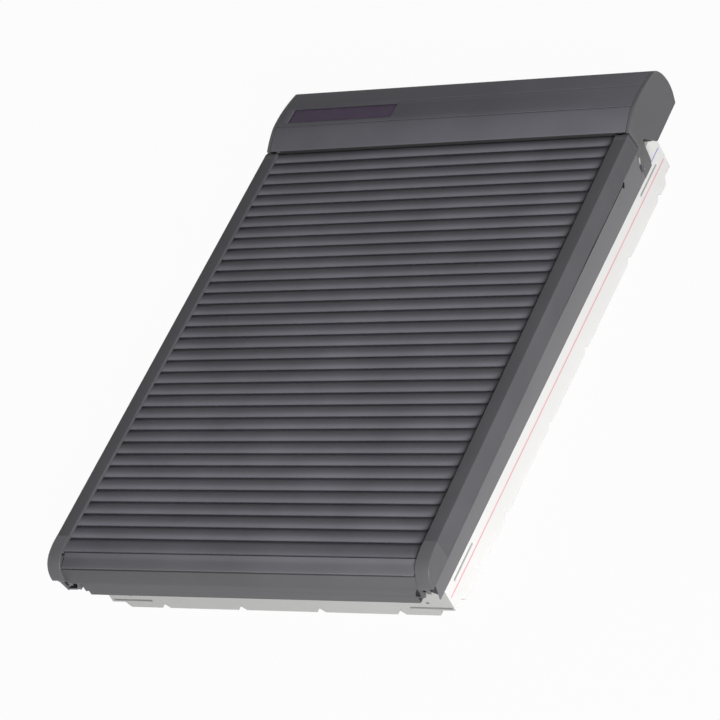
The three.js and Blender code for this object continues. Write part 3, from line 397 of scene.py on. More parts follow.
# Corners of an outline given as (across, up, radius), softened with short arcs that take at most a share of a side
def rounded(points, steps=4, mostShare=0.48):
    result = []
    for i, point in enumerate(points):
        if len(point) < 3:
            result.append(tuple(point))
            continue
        at = Vector(point[:2])
        before = Vector(points[i - 1][:2]) - at
        after = Vector(points[(i + 1) % len(points)][:2]) - at
        halfAngle = before.angle(after) / 2
        reach = min(point[2] / math.tan(halfAngle), before.length * mostShare, after.length * mostShare)
        start, stop = at + before.normalized() * reach, at + after.normalized() * reach
        for k in range(steps + 1):
            t = k / steps
            result.append(tuple(start * (1 - t) ** 2 + at * 2 * t * (1 - t) + stop * t * t))
    return result


# A list of (across, up) corners, all softened with one radius
def evenlyRounded(points, radius, steps=4):
    return rounded([(*point, radius) for point in points], steps)


# A smooth line through the given points
def throughPoints(points, steps=4):
    line = [Vector(p) for p in points]
    line = [line[0] * 2 - line[1], *line, line[-1] * 2 - line[-2]]
    result = []
    for a, b, c, d in zip(line, line[1:], line[2:], line[3:]):
        for k in range(steps):
            t = k / steps
            middle = (c - a) * t + (a * 2 - b * 5 + c * 4 - d) * t * t + (b * 3 - a - c * 3 + d) * t ** 3
            result.append(tuple(b + middle * 0.5))
    result.append(tuple(line[-2]))
    return result


def bezier(points, steps):
    points = [Vector(p) for p in points]
    result = []
    for k in range(steps + 1):
        level = points
        while len(level) > 1:
            level = [a.lerp(b, k / steps) for a, b in zip(level, level[1:])]
        result.append(tuple(level[0]))
    return result


# The points of a line moved to its left by an even distance
def offsetLine(points, distance, closed=False):
    line = [Vector(p) for p in points]
    moved = []
    for i, point in enumerate(line):
        into = (point - line[i - 1]).normalized() if i or closed else (line[1] - point).normalized()
        out = (line[(i + 1) % len(line)] - point).normalized() if i + 1 < len(line) or closed else into
        along = (into + out).normalized()
        normal = Vector((-along.y, along.x))
        moved.append(tuple(point + normal * (distance / max(normal.dot(Vector((-out.y, out.x))), 0.3))))
    return moved


# The closed outline of a sheet that follows a path, on the path's left side
def sheetOutline(path, thickness):
    return [*path, *offsetLine(path, thickness)[::-1]]


# A closed outline, drawn clockwise, with every side moved inwards
def insetOutline(points, inset):
    return offsetLine(points, -inset, True)


def addShape(name, add, stretched=(1, 1, 1), **settings):
    clearSelection()
    add(**settings)
    piece = bpy.context.object
    piece.name = name
    piece.scale = stretched
    applyPlace(piece)
    return piece


# Draws one edge of a plane along the outline and closes both ends
def bar(name, outline, start, stop, along="X"):
    length, middle = (stop - start) * mm, (start + stop) / 2 * mm
    across, up = outline[0]
    far = across * mm + length / 2
    place = (middle, far, up * mm) if along == "X" else (far, middle, up * mm)
    piece = addShape(name, bpy.ops.mesh.primitive_plane_add, size=length, location=place)
    axis, run = (1, 0) if along == "X" else (0, 1)
    edit(piece)
    pick(piece, "verts", lambda v: v.co[axis] > far)
    bpy.ops.mesh.delete(type="VERT")
    bpy.ops.mesh.select_all(action="SELECT")
    for (a0, b0), (a1, b1) in zip(outline, outline[1:] + outline[:1]):
        step = [0, 0, (b1 - b0) * mm]
        step[axis] = (a1 - a0) * mm
        bpy.ops.mesh.extrude_region_move(TRANSFORM_OT_translate={"value": step})
    bpy.ops.mesh.select_all(action="SELECT")
    bpy.ops.mesh.remove_doubles(threshold=weld)
    for end in (start * mm, stop * mm):
        pick(piece, "edges", lambda e: all(abs(v.co[run] - end) < weld / 2 for v in e.verts))
        bpy.ops.mesh.edge_face_add()
    leaveEdit()
    turnFacesOut(piece)
    return piece


def block(name, x, y, z):
    middle = [(low + high) / 2 * mm for low, high in (x, y, z)]
    size = [(high - low) * mm for low, high in (x, y, z)]
    return addShape(name, bpy.ops.mesh.primitive_cube_add, size, size=1, location=middle)


def roundBar(name, radius, place, length, axis="X", sides=32):
    turn = {"X": (0, math.pi / 2, 0), "Y": (math.pi / 2, 0, 0)}[axis]
    size = {"vertices": sides, "radius": radius * mm, "depth": length * mm}
    place = [c * mm for c in place]
    return addShape(name, bpy.ops.mesh.primitive_cylinder_add, location=place, rotation=turn, **size)


def applyModifier(piece, kind, **settings):
    pickOnly(piece)
    modifier = piece.modifiers.new("step", kind)
    for key, value in settings.items():
        setattr(modifier, key, value)
    bpy.ops.object.modifier_apply(modifier=modifier.name)


def combine(piece, others, operation="DIFFERENCE"):
    for other in others:
        applyModifier(piece, "BOOLEAN", object=other, operation=operation, solver="EXACT")
        bpy.data.objects.remove(other)


def soften(piece, width, segments=2, angle=35):
    limit = {"limit_method": "ANGLE", "angle_limit": math.radians(angle), "use_clamp_overlap": True}
    applyModifier(piece, "BEVEL", width=width * mm, segments=segments, harden_normals=False, **limit)
    return piece


def trimEnd(piece, place, normal):
    editAll(piece)
    bpy.ops.mesh.bisect(plane_co=[c * mm for c in place], plane_no=normal, use_fill=True, clear_outer=True)
    leaveEdit()


def copyOf(piece, name):
    clearSelection()
    twin = piece.copy()
    twin.data = piece.data.copy()
    twin.name = name
    bpy.context.scene.collection.objects.link(twin)
    return twin


def otherHand(piece, name):
    twin = copyOf(piece, name)
    editAll(twin)
    bpy.ops.transform.resize(value=(-1, 1, 1), center_override=(0, 0, 0))
    bpy.ops.mesh.normals_make_consistent(inside=False)
    leaveEdit()
    return twin


def shift(piece, y):
    editAll(piece)
    bpy.ops.transform.translate(value=(0, y * mm, 0))
    leaveEdit()


# Moves the picked vertices of the edited piece
def pull(piece, test, x=0, y=0, z=0):
    pick(piece, "verts", test)
    bpy.ops.transform.translate(value=(x * mm, y * mm, z * mm))


# Stretches the picked vertices up or down the slope, away from a line that stays
def stretch(piece, test, share, still):
    edit(piece)
    pick(piece, "verts", test)
    bpy.ops.transform.resize(value=(1, share, 1), center_override=(0, still * mm, 0))
    leaveEdit()


# Turns a piece drawn flat on the shutter to its tilt, and sets it over the window
def ontoShutter(piece):
    piece.rotation_euler.x = math.radians(shutter["tilt"])
    piece.location = [c * mm for c in shutter["seat"]]
    applyPlace(piece)


def ontoWindow(piece):
    shift(piece, window["sillBack"])


def install(piece, finish, body, replaced=(), smooth=30):
    pickOnly(piece)
    bpy.ops.object.shade_smooth_by_angle(angle=math.radians(smooth))
    piece.data.materials.clear()
    piece.data.materials.append(finishes[finish])
    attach(piece, body)
    if replaced:
        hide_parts(*replaced)


# Seats a piece that stands still and installs it
def fix(piece, onto, finish, replaced=(), smooth=30):
    onto(piece)
    install(piece, finish, "window", replaced, smooth)


# Copies a right-hand piece for the left and fixes both; node lacks the side's name
def fixPair(right, onto, finish, node="", smooth=30):
    left = otherHand(right, right.name.replace("right", "left"))
    for hand, side in ((right, "right"), (left, "left")):
        fix(hand, onto, finish, [node + side] if node else (), smooth)


# A bar with softened edges, from its dictionary
def softBar(name, setup, shape=None, segments=2):
    along = "Y" if "y" in setup else "X"
    return soften(bar(name, shape or setup["shape"], *setup[along.lower()], along), setup["edge"], segments)


# The curtain: slats that hook into each other, and a bar at their foot. A slat's outline is in shares
# of the pitch up the slope, and of the thickness down from the crest
slat = {
    "count": 36,
    "perGroup": 3,
    "start": -15.3,
    "pitch": 30.822,
    "crest": -8,
    "thickness": 8.5,
    "halfLength": 412,
    "edge": 0.3,
    "face": [
        (0.026, 0.72), (0.03, 0.62), (0.05, 0.5), (0.085, 0.35), (0.13, 0.21), (0.19, 0.1), (0.26, 0.03),
        (0.35, 0), (0.46, 0.02), (0.58, 0.09), (0.72, 0.24), (0.86, 0.48), (0.985, 0.78),
    ],
    "tongue": [(1.1, 0.8), (1.116, 0.86), (1.1, 0.93)],
    "back": [(0.9, 0.965), (0.55, 1.0), (0.17, 0.99), (0.165, 0.7), (0.05, 0.69)],
    "lowEnd": -23.7,
    "lowStill": 0.58,
    "topEnd": 1093,
    "topStill": 0.12,
}


def slatOutline(setup):
    points = throughPoints(setup["face"]) + setup["tongue"] + setup["back"]
    return [(setup["start"] + u * setup["pitch"], setup["crest"] - w * setup["thickness"]) for u, w in points]


# The lowest slat reaches down to the bottom bar
def stretchLowest(run, setup):
    low = setup["start"] + setup["face"][0][0] * setup["pitch"]
    still = setup["start"] + setup["lowStill"] * setup["pitch"]
    stretch(run, lambda v: v.co.y < still * mm, (setup["lowEnd"] - still) / (low - still), still)


# The topmost slat is narrower, to keep clear of the barrel when the curtain is up
def shortenTopmost(run, setup):
    foot = setup["start"] + (setup["count"] - 1) * setup["pitch"]
    reach = max(u for u, _ in setup["tongue"]) * setup["pitch"]
    low = foot + setup["topStill"] * setup["pitch"]
    stretch(run, lambda v: v.co.y > low * mm, (setup["topEnd"] - foot) / reach, foot)


def addSlats(setup):
    half, pitch = setup["halfLength"], setup["pitch"]
    one = bar("slatPattern", slatOutline(setup), -half, half)
    soften(one, setup["edge"], 1, 50)
    step = {"use_relative_offset": False, "use_constant_offset": True, "constant_offset_displace": (0, pitch * mm, 0)}
    applyModifier(one, "ARRAY", count=setup["perGroup"], **step)
    groups = setup["count"] // setup["perGroup"]
    for group in range(groups):
        twin = copyOf(one, f"slatRun_{group + 1:02d}")
        shift(twin, group * setup["perGroup"] * pitch)
        if group == 0:
            stretchLowest(twin, setup)
        if group == groups - 1:
            shortenTopmost(twin, setup)
        ontoShutter(twin)
        install(twin, "slatLacquer", "curtain", [f"slats_{group + 1:02d}"])
    bpy.data.objects.remove(one)


addSlats(slat)
print("slats done")

# Outline points are (run down from the top edge, level)
bottomBar = {
    "top": -24,
    "trim": 397,
    "neck": [(-3.9, -16), (-3.9, -14.5), (0.6, -14.46)],
    "brow": [(0.6, -11.2), (0.7, -8), (2.4, -8.15)],
    "face": [
        (2.4, -8.15), (4, -8.9), (6.5, -10.5), (9, -12), (11.5, -13.2), (15, -14.3), (20, -15.6),
        (26, -17.3), (30.5, -19),
    ],
    "underside": [(30.9, -21.5), (20.7, -21.5), (14.7, -16.5), (0, -16.5)],
    "edge": 0.5,
    "tongue": [(-412, 412), (-33, -26), (-16.2, -14)],
    "tongueEdge": 0.8,
}


def addBottomBar(setup):
    brow = bezier(setup["brow"], 6)[:-1]
    points = [*setup["neck"], *brow, *throughPoints(setup["face"], 3), *setup["underside"]]
    outline = [(setup["top"] - run, level) for run, level in points]
    piece = bar("bottomBarProfile", outline, -setup["trim"], setup["trim"])
    soften(piece, setup["edge"])
    tongue = soften(block("barTongue", *setup["tongue"]), setup["tongueEdge"])
    combine(piece, [tongue], "UNION")
    ontoShutter(piece)
    # The bar takes the lighter copy of the rail lacquer, which is painted light.
    install(piece, "barLacquer", "curtain", ["bottom_bar"])


addBottomBar(bottomBar)
print("bottom bar done")

# Guide rails with their upper end pieces. Sections are (across, up, radius)
rail = {
    "inner": 400,
    "outer": 430,
    "height": 46,
    "section": [
        (400, 0, 1.2), (430, 0, 2.2), (430, -46, 1), (400, -46, 1), (400, -17.1, 0.5), (427.5, -17.1),
        (427.5, -2.5), (402.5, -2.5), (402.5, -6.5, 0.5), (400, -6.5, 0.8),
    ],
    "start": 9.3,
    "stop": 1034,
    "lean": 0.15,
    "spare": 20,
    "end": {"start": 1034.45, "stop": 1047.4, "edge": 0.35},
    "joint": {"x": (427, 433), "shape": [(1032.55, -2.6), (1035.55, -2.6), (1042.45, -49), (1032.55, -49)]},
    # A black strip in the gap between the rail's end piece and the casing cap: painted shadow for the shade in that
    # gap.
    "seal": {"x": (415, 428.8), "shape": [(1047.8, -1.2), (1051.8, -1.2), (1058.01, -44), (1054.01, -44)], "edge": 0.4},
}


def addRails(setup):
    section, spare, lean = rounded(setup["section"]), setup["spare"], setup["lean"]
    length = bar("guideRail_right", section, setup["start"], setup["stop"] + spare, "Y")
    trimEnd(length, (0, setup["stop"], 0), (0, 1, lean))
    end, joint, seal = setup["end"], setup["joint"], setup["seal"]
    top = bar("railTop_right", section, end["start"] - spare, end["stop"] + spare, "Y")
    trimEnd(top, (0, end["stop"], 0), (0, 1, lean))
    trimEnd(top, (0, end["start"], 0), (0, -1, -lean))
    combine(top, [bar("jointStep", joint["shape"], *joint["x"])])
    soften(top, end["edge"])
    # The black strip is painted shadow in the gap under the cap.
    strip = softBar("railSeal_right", seal)
    fixPair(length, ontoShutter, "railLacquer", "rail_")
    fixPair(top, ontoShutter, "railLacquer", "rail_end_")
    fixPair(strip, ontoShutter, "sealRubber")


addRails(rail)

# The rails' rounded feet. Nose and toe are in shares of the reach and of the rail's height
foot = {
    "reach": 64,
    "past": 9,
    "nose": [
        (0, 0), (0.16, 0.004), (0.42, 0.055), (0.6, 0.13), (0.74, 0.24), (0.85, 0.39), (0.93, 0.57),
        (0.98, 0.76), (1, 0.93), (0.995, 1.04),
    ],
    "toe": [(0.97, 1.13), (0.86, 1.15), (0.85, 1)],
    "rounds": [{"x": 430, "radius": 3.4, "steps": 5}, {"x": 400, "radius": 2.2, "steps": 4}],
    "shortEdge": 30,
    "pocket": [(395, 416), (-35, 11), (-19, -6.5)],
    "step": [(417.5, 435), (-69, -51.2), (-67.5, -47.5)],
}


def addFeet(setup):
    height, past = rail["height"], setup["past"]
    nose = throughPoints([(-setup["reach"] * u, -height * v) for u, v in setup["nose"]], 3)
    toe = [(-setup["reach"] * u, -height * v) for u, v in setup["toe"]]
    right = bar("railFoot_right", [(past, 0), *nose, *toe, (past, -height)], rail["inner"], rail["outer"])
    edit(right)
    for side in setup["rounds"]:
        pick(
            right,
            "edges",
            lambda e: all(abs(v.co.x - side["x"] * mm) < weld * 5 for v in e.verts)
            and e.calc_length() < setup["shortEdge"] * mm
            and any(v.co.y < (past - 0.1) * mm for v in e.verts)
            and not all(v.co.z < -height * mm * 0.99 for v in e.verts),
        )
        bpy.ops.mesh.bevel(offset=side["radius"] * mm, segments=side["steps"], affect="EDGES", clamp_overlap=True)
    leaveEdit()
    combine(right, [block("footPocket", *setup["pocket"]), block("toeStep", *setup["step"])])
    turnFacesOut(right)
    fixPair(right, ontoShutter, "footLacquer", "rail_foot_", 40)


addFeet(foot)
print("rails and feet done")

# The casing over the barrel. Its outline points are in shares of its depth and height
casing = {
    "front": 1052,
    "depth": 190,
    "bottom": -91,
    "height": 112,
    "wall": 2,
    "half": 420.6,
    "frontCurve": [(0.005, 0.826), (0.166, 0.949), (0.287, 0.986)],
    "topCurve": [(0.287, 0.986), (0.463, 1.013), (0.674, 0.969), (0.868, 0.893)],
    "rearCurve": [(0.868, 0.893), (0.942, 0.839), (1.053, 0.473), (0.974, 0.129)],
    "under": [(0.942, 0), (0.375, 0), (0.183, 0.38), (0.136, 0.377), (0.037, 0.42)],
    "lipFold": [(7, -0.9), (1.2, -1.2)],
    "frontEdge": 0.4,
    "topEdge": 0.35,
    "seamGap": (1.5, 0.1),
    "creaseAt": 1169,
    "crease": [(-0.5, -1), (0.5, -1), (0.6, 3), (-0.6, 3)],
    "creaseX": (-136, 425.6),
}
# Strips that close the casing's lines, by their places from the seam, the crease and the lip. The black strip under the
# lip is painted shadow for the shade under the lip's overhang
casingSeals = {
    "seamSeal": {"x": (-420.1, 420.1), "y": (0.1, 1.5), "z": (-2.2, -0.3), "edge": (0.15, 1)},
    "creaseSeal": {"x": (-135, 420.1), "y": (-0.5, 0.5), "z": (-1.1, -0.5), "edge": (0.1, 1)},
    "lipBrush": {"x": (-399.2, 399.2), "y": (1.5, 6.5), "z": (-9.212, -1.6), "edge": (0.6, 2)},
}
# Slabs along the casing's top: how far each grows past the panel, and its top and bottom below the top shell
solarPanel = {
    "left": -397,
    "right": -142,
    "fromSeam": 10,
    "depth": 43,
    "panelTray": (2, 1, 6),
    "panelPocket": (0, -4, 4),
    "solarCover": (-1.7, 0.25, 1.75),
    "solarFilm": (-1.9, 1.95, 2.75),
    "solarRim": (-0.3, 0.15, 2.4),
    # A black rim round the cells: painted shade for the shadowed edges of the panel's recess.
    "solarRimRoom": (-1.5, -1, 4),
    "coverEdge": 0.4,
    "filmEdge": 0.2,
}


def casingSpot(share):
    return (casing["front"] + share[0] * casing["depth"], casing["bottom"] + share[1] * casing["height"])


frontLine = bezier(map(casingSpot, casing["frontCurve"]), 14)
topLine = bezier(map(casingSpot, casing["topCurve"]), 26)
rearLine = bezier(map(casingSpot, casing["rearCurve"]), 14)
casingOutline = [*frontLine, *topLine[1:], *rearLine[1:], *map(casingSpot, casing["under"])]


def heightOn(line, y):
    for a, b in zip(line, line[1:]):
        if a[0] <= y <= b[0]:
            return a[1] + (b[1] - a[1]) * (y - a[0]) / (b[0] - a[0])


def panelSlab(name):
    grow, top, bottom = solarPanel[name]
    start = topLine[0][0] + solarPanel["fromSeam"]
    stop = start + solarPanel["depth"]
    low, high = heightOn(topLine, start), heightOn(topLine, stop)
    start, stop = start - grow, stop + grow
    outline = [(start, low - bottom), (stop, high - bottom), (stop, high - top), (start, low - top)]
    return bar(name, outline, solarPanel["left"] - grow, solarPanel["right"] + grow)


def casingSeal(name, at):
    setup = casingSeals[name]
    y, z = ([at[i] + reach for reach in setup[axis]] for i, axis in enumerate("yz"))
    return soften(block(name, setup["x"], y, z), *setup["edge"])


def around(at, points):
    return [(at[0] + y, at[1] + z) for y, z in points]


def addCasing(setup):
    half, lip, seam = setup["half"], frontLine[0], topLine[0]
    path = [*around(lip, setup["lipFold"]), *frontLine][::-1]
    front = bar("casingFrontShell", sheetOutline(path, setup["wall"]), -half, half)
    soften(front, setup["frontEdge"])
    path = [*around(seam, [setup["seamGap"]]), *topLine[1:], *rearLine[1:]][::-1]
    top = bar("casingTopShell", sheetOutline(path, setup["wall"]), -half, half)
    combine(top, [panelSlab("panelTray")], "UNION")
    crease = (setup["creaseAt"], heightOn(topLine, setup["creaseAt"]))
    groove = bar("creaseCut", around(crease, setup["crease"]), *setup["creaseX"])
    combine(top, [panelSlab("panelPocket"), groove])
    soften(top, setup["topEdge"], 2, 50)
    cover = soften(panelSlab("solarCover"), solarPanel["coverEdge"])
    film = soften(panelSlab("solarFilm"), solarPanel["filmEdge"], 1)
    seamSeal, creaseSeal = casingSeal("seamSeal", seam), casingSeal("creaseSeal", crease)
    lipShadow = casingSeal("lipBrush", lip)
    # The black rim is painted shade at the panel's recess edges.
    rim = panelSlab("solarRim")
    combine(rim, [panelSlab("solarRimRoom")])
    for seal in (lipShadow, seamSeal, creaseSeal):
        fix(seal, ontoShutter, "sealRubber")
    fix(rim, ontoShutter, "blackPlastic")
    fix(front, ontoShutter, "casingLacquer", ["casing_front"])
    fix(top, ontoShutter, "casingLacquer", ["casing_top"])
    fix(cover, ontoShutter, "clearCover", ["solar_glass"])
    fix(film, ontoShutter, "solarCellFilm", ["solar_cells"])


addCasing(casing)

casingCap = {
    "inner": 422.2,
    "outer": 431,
    "round": 4.5,
    "steps": 5,
    "gasket": (419.4, 422.4),
    "inset": 1.1,
    "edge": 0.3,
}


def addCaps(setup):
    rim, radius = setup["outer"] - setup["round"], setup["round"]
    right = bar("casingCap_right", casingOutline, setup["inner"], rim)
    edit(right)
    pick(right, "faces", lambda f: f.normal.x > 0.99 and f.calc_center_median().x > (rim - 0.1) * mm)
    turned = [math.pi / 2 * k / setup["steps"] for k in range(setup["steps"] + 1)]
    for a, b in zip(turned, turned[1:]):
        inward, outward = radius * (math.cos(a) - math.cos(b)), radius * (math.sin(b) - math.sin(a))
        bpy.ops.mesh.inset(thickness=inward * mm, depth=outward * mm, use_even_offset=True)
    leaveEdit()
    gasket = bar("capGasket_right", insetOutline(casingOutline, setup["inset"]), *setup["gasket"])
    soften(gasket, setup["edge"], 1, 50)
    fixPair(right, ontoShutter, "mouldedGrey", "end_cap_", 40)
    fixPair(gasket, ontoShutter, "blackPlastic", "", 40)


addCaps(casingCap)

# End plates with the legs that carry the casing, each with a clip in its slot and a screw
endPlate = {
    "x": (414.7, 417.7),
    "inset": 2.4,
    "leg": [
        (1047, -119.6, 1.5), (1085, -119.6, 1.5), (1091, -107.6, 3), (1097, -40), (1092, -24.776),
        (1064, -36.776), (1064, -48.776), (1047, -52, 2),
    ],
    "flange": [(355.7, 417.2), (1047, 1085), (-118.9, -115.9)],
    "lipRoom": [(411.7, 420.7), (1045, 1065), (-12, 8)],
    "edge": 0.5,
    "slot": [(1049.5, -84.5), (1054.5, -86), (1062.5, -75), (1058, -73)],
    "slotCut": (409.7, 422.7),
    "clip": {"x": (415.1, 418.3), "inset": 0.4, "edge": 0.4},
    "screw": {"radius": 2.6, "place": (418.4, 1056, -101), "length": 1.8, "sides": 24, "edge": 0.4},
    "socket": [{"thickness": 1.2 * mm, "depth": 0}, {"thickness": 0.2 * mm, "depth": -0.8 * mm}],
}


def addEndPlates(setup):
    plate = bar("endPlate_right", insetOutline(casingOutline, setup["inset"]), *setup["x"])
    leg = bar("bracketLeg", rounded(setup["leg"]), *setup["x"])
    combine(plate, [leg, block("bracketFlange", *setup["flange"])], "UNION")
    slot = bar("bracketSlot", evenlyRounded(setup["slot"], 1), *setup["slotCut"])
    combine(plate, [slot, block("lipRoom", *setup["lipRoom"])])
    soften(plate, setup["edge"], 2, 50)
    head = setup["screw"]
    screw = roundBar("bracketScrew_right", head["radius"], head["place"], head["length"], "X", head["sides"])
    edit(screw)
    pick(screw, "faces", lambda f: f.normal.x > 0.9)
    for ring in setup["socket"]:
        bpy.ops.mesh.inset(**ring)
    leaveEdit()
    soften(screw, head["edge"])
    clip = softBar("bracketClip_right", setup["clip"], insetOutline(setup["slot"][::-1], setup["clip"]["inset"]))
    fixPair(plate, ontoShutter, "bracketGrey", "end_plate_")
    fixPair(screw, ontoShutter, "screwSteel")
    fixPair(clip, ontoShutter, "platedSteel")


addEndPlates(endPlate)
print("casing done")

# Covers beside the rails. The slit and the nick lie along the rail's lower edge, and drop says how far below it
sideCover = {
    "start": -52.4,
    "stop": 1041,
    "startLean": 2.2,
    "stopLean": 5,
    "inner": 386,
    "bottom": 421,
    "top": 431.2,
    "proud": 1.2,
    "wall": 2,
    "low": 103.5,
    "onFrame": 108.3,
    "underRail": 0.3,
    "edge": 0.3,
    "slit": {"x": (421, 436.2), "from": 962.5, "to": 550, "drops": (-2, 2.2, 6.2, 0)},
    "hole": {"radius": 6.3, "x": 425, "drop": 7.4, "length": 30},
    "nick": {"x": (427, 435), "at": 301, "shape": [(-3, 2), (4, 2), (2, -3), (-1, -4)]},
    "strip": {"x": (422, 424), "from": 978.5, "to": 542, "drops": (0.6, 0.6, 22, 8), "edge": 0.4},
    # The black plug in each cover's low end and the black slab at its high end are painted shade for the shadowed
    # hollow inside the cover and the shadow of its end on the leg.
    "plug": {"y": (-46.4, -40.4), "low": [(388.4, 119, 2), (408, 118.5, 4), (421.4, 110, 2)], "edge": 0.6},
    "plugTop": {"corners": [(427, 2), (388.4, 1)], "drop": 2.4},
    "tab": {"left": 400, "right": 409, "low": (119, 118.5), "round": 1, "y": (-51.4, -49.8), "edge": 0.4},
    "endSeal": {"y": (1039, 1044.4), "drop": 6, "edge": 0.6},
}
# The left cover's toe, folded under the sill cover, with a black pad behind it that is painted shade for the dark
# hollow behind the toe
leftToe = {
    "shape": [
        (-419.4, 104.5), (-396.5, 105.1), (-388.6, 114.5), (-388.6, 117.5), (-391, 117.5), (-398.5, 109.1),
        (-420.4, 108.5),
    ],
    "y": (-49.6, -48),
    "edge": 0.4,
    "pad": [(-419, -390.5), (-47.2, -1.6), (104, 106)],
    "padEdge": 0.6,
}


# Level of a depth on the shutter, at a place up the slope, in the window's own upright frame
def shutterLevel(y, depth):
    tilt = math.radians(shutter["tilt"])
    return shutter["seat"][2] + y * math.tan(tilt) - depth / math.cos(tilt)


# Four corners below the rail's lower edge: low end, high end, and back
def belowRail(setup):
    ends = (setup["to"], setup["from"], setup["from"], setup["to"])
    return [(y, shutterLevel(y, shutter["railHeight"] + drop)) for y, drop in zip(ends, setup["drops"])]


def coverSheet(setup, level):
    wall, inner, low, onFrame = setup["wall"], setup["inner"], setup["low"], setup["onFrame"]
    top, bottom, start, stop = setup["top"], setup["bottom"], setup["start"], setup["stop"]
    outer = [(bottom, low, 0.8), (top, level, 1.4), (inner, level), (inner, onFrame), (inner + wall, onFrame)]
    inside = [(inner + wall, level - wall), (top - wall, level - wall), (bottom - wall, low + 1.2)]
    sheet = bar("sideCover_right", rounded(outer + inside), start, stop, "Y")
    rise = (stop - start) * math.tan(math.radians(shutter["tilt"]))
    edit(sheet)
    head, high, foot = (stop - 1) * mm, (level - wall * 2) * mm, (low + wall * 2) * mm
    pull(sheet, lambda v: v.co.y > head and v.co.z > high, z=rise)
    pull(sheet, lambda v: v.co.y > head and v.co.z > high and v.co.x > (top - wall * 4) * mm, x=-setup["proud"])
    pull(sheet, lambda v: v.co.y < (start + 1) * mm and v.co.z < foot, y=setup["startLean"])
    pull(sheet, lambda v: v.co.y > head and v.co.z < foot, y=setup["stopLean"])
    leaveEdit()
    return sheet


def addLeftToe(setup):
    toe = softBar("coverToe_left", setup)
    pad = soften(block("coverPad_left", *setup["pad"]), setup["padEdge"])
    fix(toe, ontoWindow, "coverLacquer")
    fix(pad, ontoWindow, "sealRubber")


def addSideCovers(setup):
    railLow = shutter["railHeight"]
    level = shutterLevel(setup["start"], railLow + setup["underRail"])
    right = coverSheet(setup, level)
    slit, hole, nick = setup["slit"], setup["hole"], setup["nick"]
    place = (hole["x"], slit["from"], shutterLevel(slit["from"], railLow + hole["drop"]))
    nickAt = (nick["at"], shutterLevel(nick["at"], railLow))
    cutters = [
        bar("slitCut", belowRail(slit), *slit["x"]),
        roundBar("slitHole", hole["radius"], place, hole["length"]),
        bar("nickCut", around(nickAt, nick["shape"]), *nick["x"]),
    ]
    combine(right, cutters)
    soften(right, setup["edge"], 1, 50)
    strip = softBar("slitSeal_right", setup["strip"], belowRail(setup["strip"]))
    plugTop = level - setup["plugTop"]["drop"]
    corners = [(x, plugTop, radius) for x, radius in setup["plugTop"]["corners"]]
    plugFace = rounded([*setup["plug"]["low"], *corners])
    plug = softBar("coverPlug_right", setup["plug"], plugFace)
    left, outer, low = setup["tab"]["left"], setup["tab"]["right"], setup["tab"]["low"]
    tabFace = evenlyRounded([(left, low[0]), (outer, low[1]), (outer, level), (left, level)], setup["tab"]["round"])
    tab = softBar("coverTab_right", setup["tab"], tabFace)
    drop = setup["endSeal"]["drop"]
    endFace = [(x, z - drop if z > plugTop - 1 else z) for x, z in plugFace]
    seal = softBar("coverEndSeal_right", setup["endSeal"], endFace)
    addLeftToe(leftToe)
    fixPair(right, ontoWindow, "coverLacquer", "side_cover_")
    fixPair(tab, ontoWindow, "coverLacquer")
    # The plug and the end slab are painted shade in black plastic; the strip closes the slit.
    for piece in (strip, plug, seal):
        fixPair(piece, ontoWindow, "blackPlastic")


addSideCovers(sideCover)

# The cover over the sill. Nose, bend, edge and shelf are (up the slope, level) on the shutter
sillCover = {
    "half": 376.6,
    "bandHalf": 398.4,
    "wall": 2.2,
    "nose": (-56, -23.99),
    "bend": (-60, -57),
    "edge": (-51.3, -101.2),
    "shelf": (-30, -23.99),
    "nosePull": (-3, -10),
    "bendPull": (-0.2, 12),
    "return": 14,
    "slopeEnd": [(40, 108.3), (40, 115.8)],
    "endShapes": {
        1: [(372, 90), (375.5, 110.6), (393.5, 111), (398, 118), (403, 120), (403, 132.5)],
        -1: [(373.5, 90), (370, 106), (377, 103.6), (377.4, 105.5), (371, 130), (372.5, 132.5)],
    },
    "endHole": [(374, 113.5), (386.5, 114.5), (388, 122), (397, 138), (390, 140), (379, 124)],
    "holeRound": 1.5,
    "cutFromEdge": (-20, 30),
    "cutBelow": 5,
    "cutEnd": 404.4,
    "shelfCut": {"end": 403.4, "fromNose": 3.6, "stop": 45, "above": 20},
    "softEdge": 0.5,
    # A black sheet behind the cover's lower band: painted shade for the dark hollow under the sill cover.
    "liner": {"x": (-366, 385.4), "shape": [(-49, 105.5), (-46.5, 105.5), (-46.5, 160), (-49, 160)], "edge": 0.6},
}


def fromShutter(y, z):
    tilt = math.radians(shutter["tilt"])
    level = shutter["seat"][2] + y * math.sin(tilt) + z * math.cos(tilt)
    return (y * math.cos(tilt) - z * math.sin(tilt), level)


